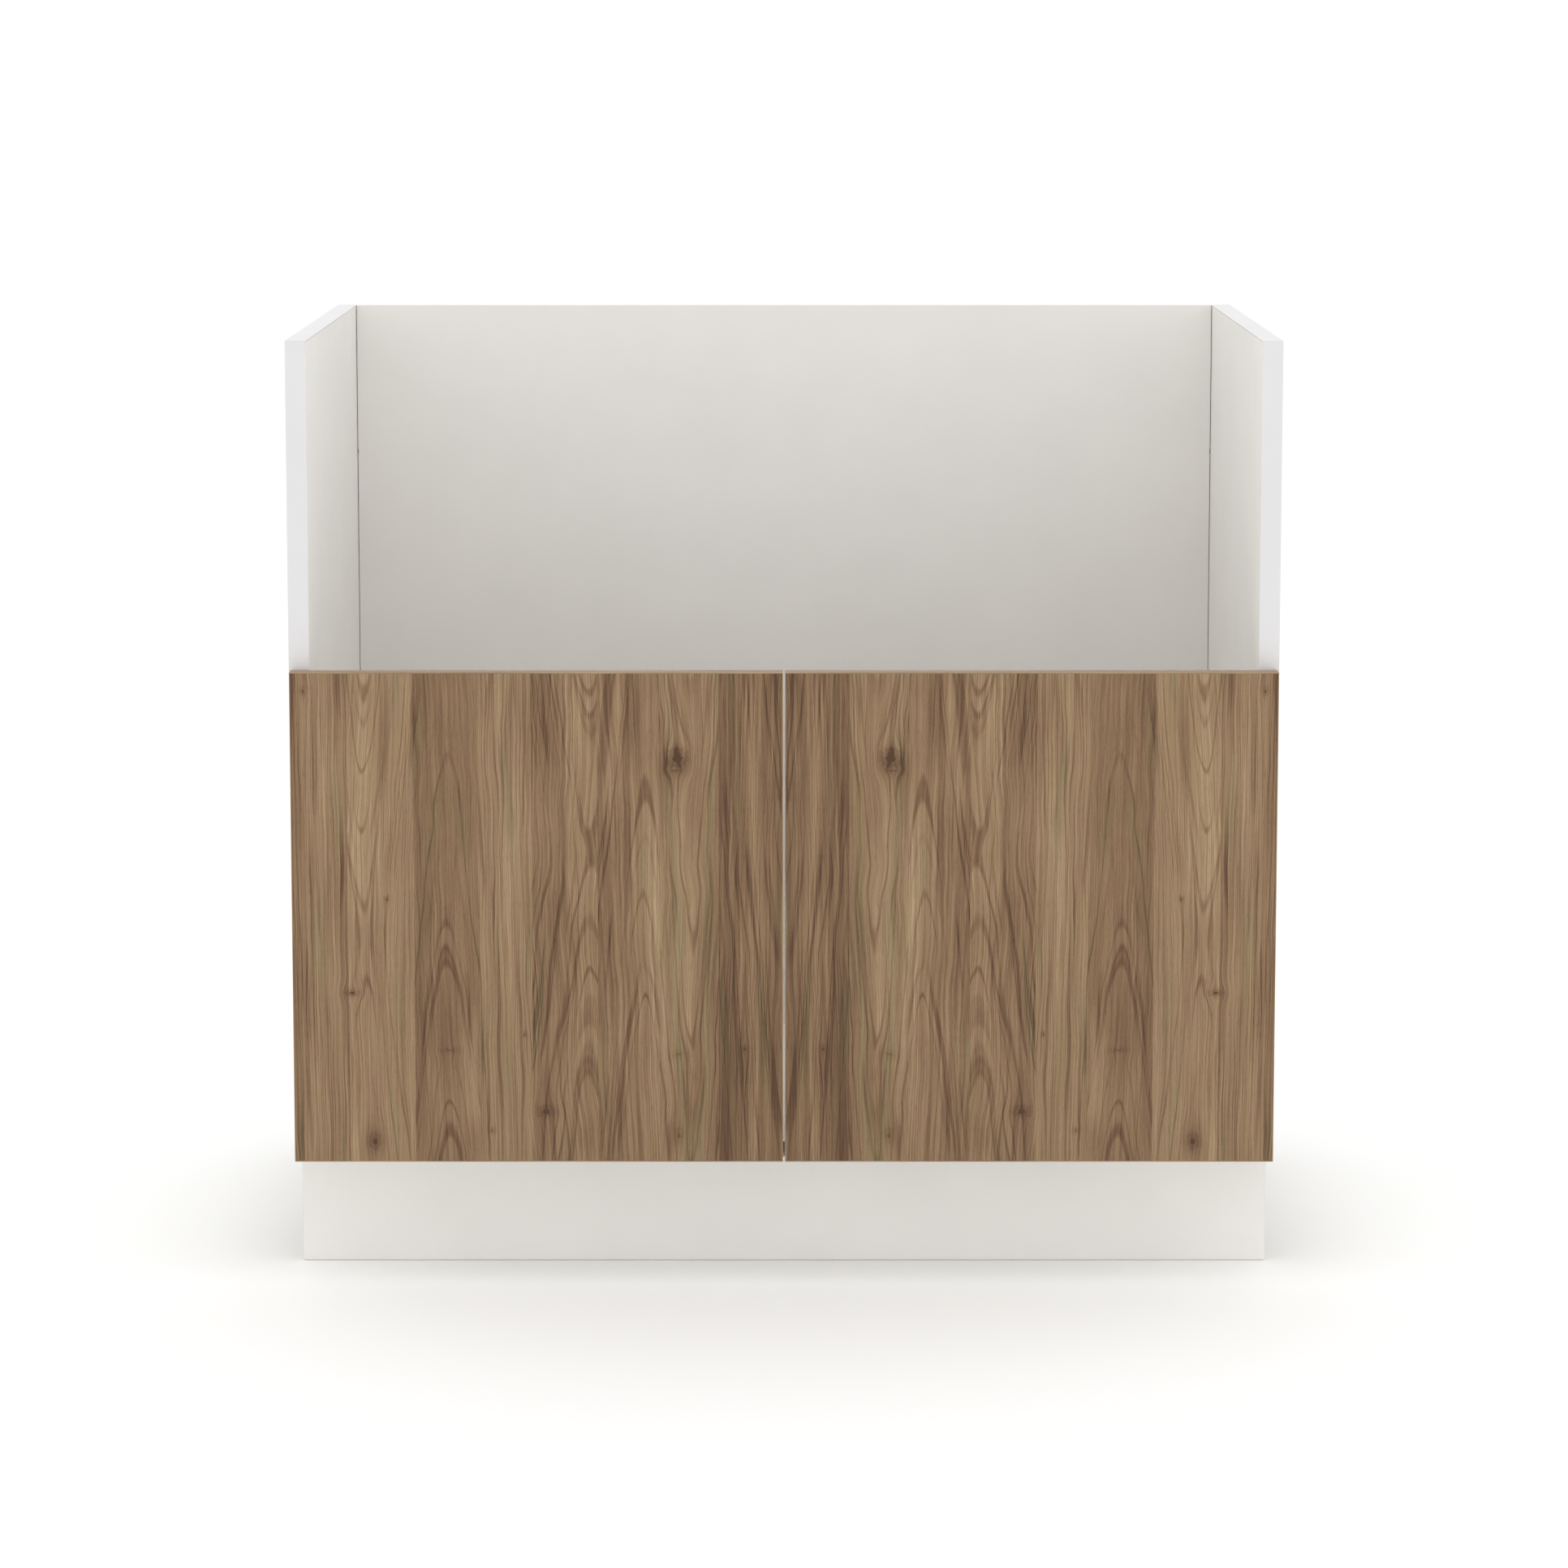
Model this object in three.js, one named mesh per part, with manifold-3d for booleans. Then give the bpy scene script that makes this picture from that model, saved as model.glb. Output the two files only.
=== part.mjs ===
// A frameless base cabinet for an apron-front sink: an open-topped box on levelling feet, with a
// bay above two slab doors, concealed cup hinges and a clip-on toe-kick board.
// Millimetres. +X is to the right, +Y to the back, +Z up. The origin is the middle of the footprint.
import * as THREE from 'three';
import { mergeVertices } from 'three/addons/utils/BufferGeometryUtils.js';
import Module from 'manifold-3d';

const wasm = await Module();
wasm.setup();

// Carcass
const CABINET_WIDTH = 914.4;
const BOX_HEIGHT = 762;
const BASE_HEIGHT = 116;
const CARCASS_DEPTH = 609.6;
const SIDE_THICKNESS = 19.05;
const BOTTOM_THICKNESS = 15;
const BACK_THICKNESS = 12;
const BACK_SIDE_GAP = 1;
const EDGE_BAND_THICKNESS = 1;
const GLUE_LINE = 0.1;
const SEAT_GAP = 0.3;

// Doors
const DOOR_HEIGHT = 458.7;
const DOOR_THICKNESS = 19.05;
const DOOR_BACK_GAP = 2;
const DOOR_SIDE_REVEAL = 1.95;
const DOOR_MIDDLE_GAP = 1.8;

// Cup hinges: the cup is let into the door, the arm is fixed to the side panel
const HINGE_END_DISTANCE = 80;
const CUP_BORE_RADIUS = 17.5;
const CUP_BORE_DEPTH = 12.3;
const CUP_EDGE_STRIP = 4;
const CUP_WALL = 1;
const CUP_SEGMENTS = 36;
const CUP_FLANGE_THICKNESS = 1.2;
const CUP_WING_RADIUS = 7;
const CUP_WING_REACH = 22.5;
const CUP_WING_OFFSET = 7;
const CUP_PIN_INSET = 6.05;
const CUP_PIN_DEPTH = 3;
const HINGE_PIN_RADIUS = 1.5;
const PIN_CLEARANCE = 0.1;
const ARM_PIN_STANDOFF = 13.95;
const ARM_PIN_SETBACK = 6;
const ARM_LENGTH = 60;
const ARM_SHEET = 1.2;
const ARM_INNER_HALF_HEIGHT = 7.4;
const ARM_NOSE = 4.5;
const ARM_WEB_SETBACK = 14;
const LINK_HALF_HEIGHT = 6.8;
const LINK_HALF_THICKNESS = 1.1;
const LINK_EYE_RADIUS = 3;
const LINK_BEND_INSET = 9.8;
const LINK_BEND_DEPTH = 8.4;
const LINK_CURVE_STEPS = 10;
const PLATE_THICKNESS = 3;
const PLATE_SETBACK = 37;
const PLATE_SCREW_PITCH = 32;
const PLATE_WING_RADIUS = 8;
const PLATE_RIB_HALF_HEIGHT = 6;
const PLATE_RIB_LENGTH = 44;
const PLATE_SCREW_RADIUS = 3.2;
const PLATE_SCREW_DEPTH = 9.5;
const PLATE_PILOT_DEPTH = 11.4;

// Door bumpers
const BUMPER_RADIUS = 4.5;
const BUMPER_CROWN_RADIUS = 3.15;
const BUMPER_INSET = 45;

// Panel screws
const SCREW_LENGTH = 50;
const SCREW_SHANK_RADIUS = 2.4;
const SCREW_HEAD_RADIUS = 4.5;
const SCREW_HEAD_DEPTH = 3;
const SCREW_SOCKET_RADIUS = 2;
const SCREW_SOCKET_DEPTH = 2.2;
const SCREW_SEGMENTS = 16;
const BOTTOM_SCREW_SETBACKS = [60, 480];
const BACK_SCREW_END_DISTANCE = 150;

// Levelling feet
const FRONT_FOOT_SETBACK = 130;
const REAR_FOOT_INSET = 90;
const FOOT_SIDE_INSET = 75;
const SOCKET_FLANGE_RADIUS = 35;
const SOCKET_FLANGE_THICKNESS = 5;
const SOCKET_SLEEVE_RADIUS = 17;
const SOCKET_SLEEVE_LENGTH = 41;
const FOOT_STEM_RADIUS = 13.5;
const FOOT_SLEEVE_CLEARANCE = 0.5;
const FOOT_PAD_RADIUS = 28;
const FOOT_PAD_THICKNESS = 5;
const FOOT_COLLAR_HEIGHT = 14;
const FOOT_HEAD_ROOM = 8;

// Toe-kick board and its clips
const TOE_KICK_RECESS = 76.2;
const TOE_KICK_THICKNESS = 15.9;
const CLIP_SHEET = 3;
const CLIP_HEIGHT = 26;
const CLIP_DROP = 10.25;
const CLIP_GRIP_CLEARANCE = 0.4;

// Sides of round pieces, and how far a cutter reaches past what it cuts
const ROUND_SEGMENTS = 24;
const SMALL_SEGMENTS = 16;
const OVERCUT = 1;

// Places worked out from the sizes above
const TOTAL_DEPTH = CARCASS_DEPTH + DOOR_BACK_GAP + DOOR_THICKNESS;
const REAR_Y = TOTAL_DEPTH / 2;
const CARCASS_FRONT_Y = REAR_Y - CARCASS_DEPTH;
const BOX_TOP_Z = BASE_HEIGHT + BOX_HEIGHT;
const DOOR_BACK_Y = CARCASS_FRONT_Y - DOOR_BACK_GAP;
const DOOR_FRONT_Y = DOOR_BACK_Y - DOOR_THICKNESS;
const DOOR_TOP_Z = BASE_HEIGHT + DOOR_HEIGHT;
const CUP_CENTRE_INSET = DOOR_SIDE_REVEAL + CUP_EDGE_STRIP + CUP_BORE_RADIUS;
const CUP_RADIUS = CUP_BORE_RADIUS - SEAT_GAP;
const CUP_INNER_RADIUS = CUP_RADIUS - CUP_WALL;
const CUP_PIN = {
  inset: DOOR_SIDE_REVEAL + CUP_EDGE_STRIP + CUP_PIN_INSET,
  depth: -DOOR_BACK_GAP - CUP_PIN_DEPTH,
};
const ARM_PIN = { inset: SIDE_THICKNESS + ARM_PIN_STANDOFF, depth: ARM_PIN_SETBACK };
const LINK_BEND = { inset: CUP_PIN.inset + LINK_BEND_INSET, depth: CUP_PIN.depth - LINK_BEND_DEPTH };
const HINGE_HEIGHTS = { lower: BASE_HEIGHT + HINGE_END_DISTANCE, upper: DOOR_TOP_Z - HINGE_END_DISTANCE };
const BOTTOM_MIDDLE_Z = BASE_HEIGHT + BOTTOM_THICKNESS / 2;
const BACK_MIDDLE_Y = REAR_Y - BACK_THICKNESS / 2;
const FOOT_PLACES = { front: FRONT_FOOT_SETBACK, rear: CARCASS_DEPTH - REAR_FOOT_INSET };
const SIDES = { left: -1, right: 1 };

const MATERIALS = {
  whiteBoard: new THREE.MeshStandardMaterial({ color: 0xe9e8e5, roughness: 0.5, metalness: 0 }),
  whiteEdge: new THREE.MeshStandardMaterial({ color: 0xefeeeb, roughness: 0.4, metalness: 0 }),
  walnut: new THREE.MeshStandardMaterial({ color: 0x8d7156, roughness: 0.6, metalness: 0 }),
  nickel: new THREE.MeshStandardMaterial({ color: 0xb9bab8, roughness: 0.3, metalness: 1 }),
  zincSteel: new THREE.MeshStandardMaterial({ color: 0x9fa09c, roughness: 0.4, metalness: 1 }),
  blackPlastic: new THREE.MeshStandardMaterial({ color: 0x1b1b1c, roughness: 0.6, metalness: 0 }),
  clearRubber: new THREE.MeshStandardMaterial({ color: 0xd8d8d2, roughness: 0.4, metalness: 0 }),
};

// ---- Solids: joining and cutting closed meshes ----

function solidOf(geometry) {
  const bare = geometry.clone();
  bare.deleteAttribute('normal');
  bare.deleteAttribute('uv');
  const merged = mergeVertices(bare, 1e-4);
  return new wasm.Manifold(new wasm.Mesh({
    numProp: 3,
    vertProperties: merged.attributes.position.array,
    triVerts: new Uint32Array(merged.index.array),
  }));
}

function geometryOf(solid) {
  const mesh = solid.getMesh();
  const geometry = new THREE.BufferGeometry();
  geometry.setAttribute('position', new THREE.BufferAttribute(new Float32Array(mesh.vertProperties), 3));
  geometry.setIndex(new THREE.BufferAttribute(new Uint32Array(mesh.triVerts), 1));
  const flat = geometry.toNonIndexed();
  flat.computeVertexNormals();
  return flat;
}

function joined(geometries) {
  return geometryOf(geometries.map(solidOf).reduce((whole, piece) => whole.add(piece)));
}

function cut(geometry, cutters) {
  return geometryOf(cutters.map(solidOf).reduce((whole, cutter) => whole.subtract(cutter), solidOf(geometry)));
}

// ---- Shapes ----

function boxBetween([x0, x1], [y0, y1], [z0, z1]) {
  const box = new THREE.BoxGeometry(Math.abs(x1 - x0), Math.abs(y1 - y0), Math.abs(z1 - z0));
  return box.translate((x0 + x1) / 2, (y0 + y1) / 2, (z0 + z1) / 2);
}

// Turns a closed profile of [radius, height] pairs about the +Y axis.
function revolved(profile, segments = ROUND_SEGMENTS) {
  return new THREE.LatheGeometry(profile.map(([radius, height]) => new THREE.Vector2(radius, height)), segments);
}

function rod(radius, length, segments = SMALL_SEGMENTS) {
  return revolved([[0, 0], [radius, 0], [radius, length], [0, length]], segments);
}

function uprightRod(radius, bottomZ, topZ, segments = SMALL_SEGMENTS) {
  return rod(radius, topZ - bottomZ, segments).rotateX(Math.PI / 2).translate(0, 0, bottomZ);
}

// A plan outline pushed up from bottomZ to topZ.
function extrudedPlan(points, bottomZ, topZ) {
  const shape = new THREE.Shape(points.map(([x, y]) => new THREE.Vector2(x, y)));
  const options = { depth: topZ - bottomZ, bevelEnabled: false };
  return new THREE.ExtrudeGeometry(shape, options).translate(0, 0, bottomZ);
}

// X at a distance inwards from a side panel's outer face.
function inward(side, inset) {
  return side * (CABINET_WIDTH / 2 - inset);
}

const cabinet = new THREE.Group();

// Geometry made in the cabinet's frame, kept in a mesh that sits at the given place.
function addPiece(name, geometry, material, place = [0, 0, 0]) {
  geometry.translate(-place[0], -place[1], -place[2]);
  const mesh = new THREE.Mesh(geometry, material);
  mesh.name = name;
  mesh.position.set(...place);
  cabinet.add(mesh);
}

// ---- Panel screws: a countersunk head with a hexagon socket ----

// A cone from the head to the shank, then the shank; the cone starts coneTop inside the outer face.
function screwProfile(coneTop, clearance) {
  const head = SCREW_HEAD_RADIUS + clearance;
  const shank = SCREW_SHANK_RADIUS + clearance;
  const end = SCREW_LENGTH + coneTop;
  return [[0, coneTop], [head, coneTop], [shank, coneTop + SCREW_HEAD_DEPTH], [shank, end], [0, end]];
}

// Lies along X and points inwards from the side panel's outer face.
function alongScrewAxis(shape, side, headInset, y, z) {
  return shape.rotateZ(side * Math.PI / 2).translate(inward(side, headInset), y, z);
}

function screwShape(side, y, z) {
  const bare = revolved(screwProfile(0, 0), SCREW_SEGMENTS);
  const socket = rod(SCREW_SOCKET_RADIUS, SCREW_SOCKET_DEPTH * 2, 6).translate(0, -SCREW_SOCKET_DEPTH, 0);
  return alongScrewAxis(cut(bare, [socket]), side, SEAT_GAP, y, z);
}

function screwHole(side, y, z) {
  const cone = revolved(screwProfile(SEAT_GAP * 2, SEAT_GAP), SCREW_SEGMENTS);
  const mouth = revolved([[0, 0], [SCREW_HEAD_RADIUS + SEAT_GAP, 0],
    [SCREW_HEAD_RADIUS + SEAT_GAP, SEAT_GAP * 2], [0, SEAT_GAP * 2]], SCREW_SEGMENTS);
  return alongScrewAxis(joined([cone, mouth]), side, 0, y, z);
}

function screwPlaces() {
  const bottom = BOTTOM_SCREW_SETBACKS.map((setback) => ({
    part: 'bottom', y: CARCASS_FRONT_Y + setback, z: BOTTOM_MIDDLE_Z,
  }));
  const back = [BASE_HEIGHT + BACK_SCREW_END_DISTANCE, BOX_TOP_Z - BACK_SCREW_END_DISTANCE].map((z) => ({
    part: 'back', y: BACK_MIDDLE_Y, z,
  }));
  return [...bottom, ...back];
}

function screwHoles(sides, part) {
  const places = screwPlaces().filter((place) => part === 'any' || place.part === part);
  return sides.flatMap((side) => places.map(({ y, z }) => screwHole(side, y, z)));
}

function addScrews() {
  for (const [sideName, side] of Object.entries(SIDES)) {
    screwPlaces().forEach(({ part, y, z }, index) => {
      const end = index % 2 === 0 ? 'a' : 'b';
      const place = [inward(side, 0), y, z];
      addPiece(`${part}_screw_${sideName}_${end}`, screwShape(side, y, z), MATERIALS.zincSteel, place);
    });
  }
}

// ---- Carcass panels ----

function addSidePanels() {
  for (const [sideName, side] of Object.entries(SIDES)) {
    const faces = [inward(side, 0), inward(side, SIDE_THICKNESS)];
    const place = [inward(side, SIDE_THICKNESS / 2), CARCASS_FRONT_Y, BASE_HEIGHT];
    const bandBackY = CARCASS_FRONT_Y + EDGE_BAND_THICKNESS;
    const bandBottomZ = BOX_TOP_Z - EDGE_BAND_THICKNESS;
    const board = boxBetween(faces, [bandBackY + GLUE_LINE, REAR_Y], [BASE_HEIGHT, bandBottomZ - GLUE_LINE]);
    const frontBand = boxBetween(faces, [CARCASS_FRONT_Y, bandBackY], [BASE_HEIGHT, BOX_TOP_Z]);
    const topBand = boxBetween(faces, [bandBackY + GLUE_LINE, REAR_Y], [bandBottomZ, BOX_TOP_Z]);
    const plateHoles = Object.values(HINGE_HEIGHTS).flatMap((z) => plateScrewPilots(side, z));
    addPiece(`side_panel_${sideName}`, cut(board, [...screwHoles([side], 'any'), ...plateHoles]),
      MATERIALS.whiteBoard, place);
    addPiece(`side_front_band_${sideName}`, frontBand, MATERIALS.whiteEdge, place);
    addPiece(`side_top_band_${sideName}`, topBand, MATERIALS.whiteEdge, place);
  }
}

function addBottomAndBack() {
  const bottomFaces = [inward(-1, SIDE_THICKNESS + SEAT_GAP), inward(1, SIDE_THICKNESS + SEAT_GAP)];
  const backFaces = [inward(-1, SIDE_THICKNESS + BACK_SIDE_GAP), inward(1, SIDE_THICKNESS + BACK_SIDE_GAP)];
  const bottomHeights = [BASE_HEIGHT, BASE_HEIGHT + BOTTOM_THICKNESS];
  const bandBackY = CARCASS_FRONT_Y + EDGE_BAND_THICKNESS;
  const bottomRearY = REAR_Y - BACK_THICKNESS - SEAT_GAP;
  const bothSides = Object.values(SIDES);
  const bottom = boxBetween(bottomFaces, [bandBackY + GLUE_LINE, bottomRearY], bottomHeights);
  const band = boxBetween(bottomFaces, [CARCASS_FRONT_Y, bandBackY], bottomHeights);
  const back = boxBetween(backFaces, [REAR_Y - BACK_THICKNESS, REAR_Y], [BASE_HEIGHT, BOX_TOP_Z]);
  const place = [0, CARCASS_FRONT_Y, BASE_HEIGHT];
  addPiece('bottom_panel', cut(bottom, screwHoles(bothSides, 'bottom')), MATERIALS.whiteBoard, place);
  addPiece('bottom_front_band', band, MATERIALS.whiteEdge, place);
  addPiece('back_panel', cut(back, screwHoles(bothSides, 'back')), MATERIALS.whiteBoard, [0, REAR_Y, BASE_HEIGHT]);
}

// ---- Levelling feet: a sleeve under the floor panel and a foot that screws out of it ----

function addFeet() {
  const flangeTopZ = BASE_HEIGHT - SEAT_GAP;
  const flangeBottomZ = flangeTopZ - SOCKET_FLANGE_THICKNESS;
  const sleeveBottomZ = flangeTopZ - SOCKET_SLEEVE_LENGTH - SOCKET_FLANGE_THICKNESS;
  const boreTopZ = flangeTopZ - SOCKET_FLANGE_THICKNESS / 2;
  const boreRadius = FOOT_STEM_RADIUS + FOOT_SLEEVE_CLEARANCE;
  const stemTopZ = boreTopZ - FOOT_HEAD_ROOM;
  const socketProfile = [
    [0, flangeTopZ], [SOCKET_FLANGE_RADIUS, flangeTopZ], [SOCKET_FLANGE_RADIUS, flangeBottomZ],
    [SOCKET_SLEEVE_RADIUS, flangeBottomZ], [SOCKET_SLEEVE_RADIUS, sleeveBottomZ],
    [boreRadius, sleeveBottomZ], [boreRadius, boreTopZ], [0, boreTopZ],
  ].reverse();
  const footProfile = [
    [0, 0], [FOOT_PAD_RADIUS, 0], [FOOT_PAD_RADIUS, FOOT_PAD_THICKNESS],
    [FOOT_STEM_RADIUS, FOOT_COLLAR_HEIGHT], [FOOT_STEM_RADIUS, stemTopZ], [0, stemTopZ],
  ];
  for (const [sideName, side] of Object.entries(SIDES)) {
    for (const [endName, setback] of Object.entries(FOOT_PLACES)) {
      const place = [inward(side, FOOT_SIDE_INSET), CARCASS_FRONT_Y + setback, 0];
      const socket = revolved(socketProfile).rotateX(Math.PI / 2).translate(...place);
      const foot = revolved(footProfile).rotateX(Math.PI / 2).translate(...place);
      addPiece(`foot_socket_${endName}_${sideName}`, socket, MATERIALS.blackPlastic, place);
      addPiece(`foot_${endName}_${sideName}`, foot, MATERIALS.blackPlastic, place);
    }
  }
}

// ---- Toe-kick board, held by clips that slide over the front foot sockets ----

function addToeKick() {
  const frontY = CARCASS_FRONT_Y + TOE_KICK_RECESS;
  const rearY = frontY + TOE_KICK_THICKNESS;
  const board = boxBetween([inward(-1, 0), inward(1, 0)], [frontY, rearY], [0, BASE_HEIGHT - SEAT_GAP]);
  addPiece('toe_kick_board', board, MATERIALS.whiteBoard, [0, frontY, 0]);

  const footY = CARCASS_FRONT_Y + FRONT_FOOT_SETBACK;
  const clipTopZ = BASE_HEIGHT - SOCKET_FLANGE_THICKNESS - CLIP_DROP;
  const innerHalf = SOCKET_SLEEVE_RADIUS + CLIP_GRIP_CLEARANCE;
  const outerHalf = innerHalf + CLIP_SHEET;
  const baseY = rearY + SEAT_GAP;
  const jawEndY = footY + SOCKET_SLEEVE_RADIUS / 2;
  for (const [sideName, side] of Object.entries(SIDES)) {
    const x = inward(side, FOOT_SIDE_INSET);
    const outline = [
      [x - outerHalf, baseY], [x + outerHalf, baseY], [x + outerHalf, jawEndY], [x + innerHalf, jawEndY],
      [x + innerHalf, baseY + CLIP_SHEET], [x - innerHalf, baseY + CLIP_SHEET], [x - innerHalf, jawEndY],
      [x - outerHalf, jawEndY],
    ];
    const clip = extrudedPlan(outline, clipTopZ - CLIP_HEIGHT, clipTopZ);
    addPiece(`toe_kick_clip_${sideName}`, clip, MATERIALS.blackPlastic, [x, baseY, clipTopZ]);
  }
}

// ---- Doors ----

function addDoors() {
  for (const [sideName, side] of Object.entries(SIDES)) {
    const edges = [inward(side, DOOR_SIDE_REVEAL), side * DOOR_MIDDLE_GAP / 2];
    const slab = boxBetween(edges, [DOOR_FRONT_Y, DOOR_BACK_Y], [BASE_HEIGHT, DOOR_TOP_Z]);
    const cupX = inward(side, CUP_CENTRE_INSET);
    const boreFloorY = DOOR_BACK_Y - CUP_BORE_DEPTH;
    const bores = Object.values(HINGE_HEIGHTS).map((z) => rod(CUP_BORE_RADIUS, CUP_BORE_DEPTH * 2, CUP_SEGMENTS)
      .translate(cupX, boreFloorY, z));
    addPiece(`door_${sideName}`, cut(slab, bores), MATERIALS.walnut, [cupX, DOOR_BACK_Y, BASE_HEIGHT]);

    const bumperInsets = { outer: BUMPER_INSET, inner: CABINET_WIDTH / 2 - BUMPER_INSET / 2 };
    for (const [endName, inset] of Object.entries(bumperInsets)) {
      const place = [inward(side, inset), DOOR_BACK_Y + SEAT_GAP, BOTTOM_MIDDLE_Z];
      const thickness = DOOR_BACK_GAP - SEAT_GAP * 2;
      const domeProfile = [
        [0, 0], [BUMPER_RADIUS, 0], [BUMPER_RADIUS, thickness / 2],
        [BUMPER_CROWN_RADIUS, thickness], [0, thickness],
      ];
      const bumper = revolved(domeProfile, SMALL_SEGMENTS).translate(...place);
      addPiece(`door_bumper_${sideName}_${endName}`, bumper, MATERIALS.clearRubber, place);
    }
  }
}

// ---- Cup hinges ----

// A pin position in plan, given as an inset from the side and a depth behind the carcass front.
function planPoint(side, { inset, depth }) {
  return new THREE.Vector2(inward(side, inset), CARCASS_FRONT_Y + depth);
}

function pinHole({ x, y }, bottomZ, topZ) {
  const radius = HINGE_PIN_RADIUS + PIN_CLEARANCE;
  return uprightRod(radius, bottomZ - OVERCUT, topZ + OVERCUT).translate(x, y, 0);
}

// Half the height of the cup's inside where the pin crosses it.
function cupPinHalfLength() {
  const offset = CUP_BORE_RADIUS - CUP_PIN_INSET;
  return Math.sqrt(CUP_INNER_RADIUS ** 2 - (offset + HINGE_PIN_RADIUS) ** 2) - SEAT_GAP;
}

function cupShape(side, z) {
  const x = inward(side, CUP_CENTRE_INSET);
  const faceY = DOOR_BACK_Y + SEAT_GAP;
  const flangeY = faceY + CUP_FLANGE_THICKNESS;
  const floorY = DOOR_BACK_Y - CUP_BORE_DEPTH + SEAT_GAP;
  const pot = rod(CUP_RADIUS, flangeY - floorY, CUP_SEGMENTS).translate(x, floorY, z);
  const wingX = x - side * CUP_WING_OFFSET;
  const wings = [-1, 1].map((end) => rod(CUP_WING_RADIUS, CUP_FLANGE_THICKNESS)
    .translate(wingX, faceY, z + end * CUP_WING_REACH));
  const strap = boxBetween([wingX - CUP_WING_RADIUS, wingX + CUP_WING_RADIUS], [faceY, flangeY],
    [z - CUP_WING_REACH, z + CUP_WING_REACH]);
  const hollow = rod(CUP_INNER_RADIUS, CUP_BORE_DEPTH * 2, CUP_SEGMENTS).translate(x, floorY + CUP_WALL, z);
  return cut(joined([pot, strap, ...wings]), [hollow]);
}

// A flat bar bent round the cup's rim, with a rolled eye at each end.
function linkShape(side, z) {
  const cupPin = planPoint(side, CUP_PIN);
  const armPin = planPoint(side, ARM_PIN);
  const curve = new THREE.QuadraticBezierCurve(armPin, planPoint(side, LINK_BEND), cupPin);
  const edgePoint = (t, offset) => {
    const tangent = curve.getTangent(t);
    const point = curve.getPoint(t);
    return [point.x - tangent.y * offset, point.y + tangent.x * offset];
  };
  const along = Array.from({ length: LINK_CURVE_STEPS + 1 }, (_, index) => index / LINK_CURVE_STEPS);
  const outline = [
    ...along.map((t) => edgePoint(t, LINK_HALF_THICKNESS)),
    ...along.toReversed().map((t) => edgePoint(t, -LINK_HALF_THICKNESS)),
  ];
  const bottomZ = z - LINK_HALF_HEIGHT;
  const topZ = z + LINK_HALF_HEIGHT;
  const bar = extrudedPlan(outline, bottomZ, topZ);
  const pins = [cupPin, armPin];
  const eyes = pins.map(({ x, y }) => uprightRod(LINK_EYE_RADIUS, bottomZ, topZ).translate(x, y, 0));
  return cut(joined([bar, ...eyes]), pins.map((pin) => pinHole(pin, bottomZ, topZ)));
}

// A channel open towards the side panel, with an ear above and below the link.
function armShape(side, z) {
  const pin = planPoint(side, ARM_PIN);
  const outerHalf = ARM_INNER_HALF_HEIGHT + ARM_SHEET;
  const noseY = pin.y - ARM_NOSE;
  const rearY = noseY + ARM_LENGTH;
  const webX = [pin.x - side * (ARM_NOSE - ARM_SHEET), pin.x - side * ARM_NOSE];
  const openX = inward(side, SIDE_THICKNESS + PLATE_THICKNESS + SEAT_GAP * 2);
  const web = boxBetween(webX, [CARCASS_FRONT_Y + ARM_WEB_SETBACK, rearY], [z - outerHalf, z + outerHalf]);
  const flanges = [-1, 1].map((end) => boxBetween([openX, webX[1]], [noseY, rearY],
    [z + end * ARM_INNER_HALF_HEIGHT, z + end * outerHalf]));
  return cut(joined([web, ...flanges]), [pinHole(pin, z - outerHalf, z + outerHalf)]);
}

// The plate's two screws go into the side panel; their heads are part of the plate.
function plateScrewPlaces(z) {
  return [-1, 1].map((end) => ({ y: CARCASS_FRONT_Y + PLATE_SETBACK, z: z + end * PLATE_SCREW_PITCH / 2 }));
}

function plateScrewPilots(side, z) {
  const floorX = inward(side, SIDE_THICKNESS - PLATE_PILOT_DEPTH);
  return plateScrewPlaces(z).map((screw) => rod(PLATE_SCREW_RADIUS + SEAT_GAP, PLATE_PILOT_DEPTH * 2)
    .rotateZ(side * Math.PI / 2).translate(floorX, screw.y, screw.z));
}

// A winged base against the side panel, its screw stems, and a rib that the arm straddles.
function plateShape(side, z) {
  const screws = plateScrewPlaces(z);
  const backX = inward(side, SIDE_THICKNESS + SEAT_GAP);
  const frontX = inward(side, SIDE_THICKNESS + SEAT_GAP + PLATE_THICKNESS);
  const armWebX = inward(side, ARM_PIN.inset + ARM_NOSE - ARM_SHEET - SEAT_GAP);
  const middleY = CARCASS_FRONT_Y + PLATE_SETBACK;
  const upDown = [z - PLATE_SCREW_PITCH / 2, z + PLATE_SCREW_PITCH / 2];
  const wing = boxBetween([backX, frontX], [middleY - PLATE_WING_RADIUS, middleY + PLATE_WING_RADIUS], upDown);
  const rib = boxBetween([backX, armWebX], [middleY - PLATE_RIB_LENGTH / 2, middleY + PLATE_RIB_LENGTH / 2],
    [z - PLATE_RIB_HALF_HEIGHT, z + PLATE_RIB_HALF_HEIGHT]);
  const ends = screws.map((screw) => rod(PLATE_WING_RADIUS, PLATE_THICKNESS)
    .rotateZ(side * Math.PI / 2).translate(backX, screw.y, screw.z));
  const tipX = inward(side, SIDE_THICKNESS - PLATE_SCREW_DEPTH);
  const stems = screws.map((screw) => rod(PLATE_SCREW_RADIUS, PLATE_SCREW_DEPTH + PLATE_THICKNESS)
    .rotateZ(side * Math.PI / 2).translate(tipX, screw.y, screw.z));
  return joined([wing, rib, ...ends, ...stems]);
}

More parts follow.
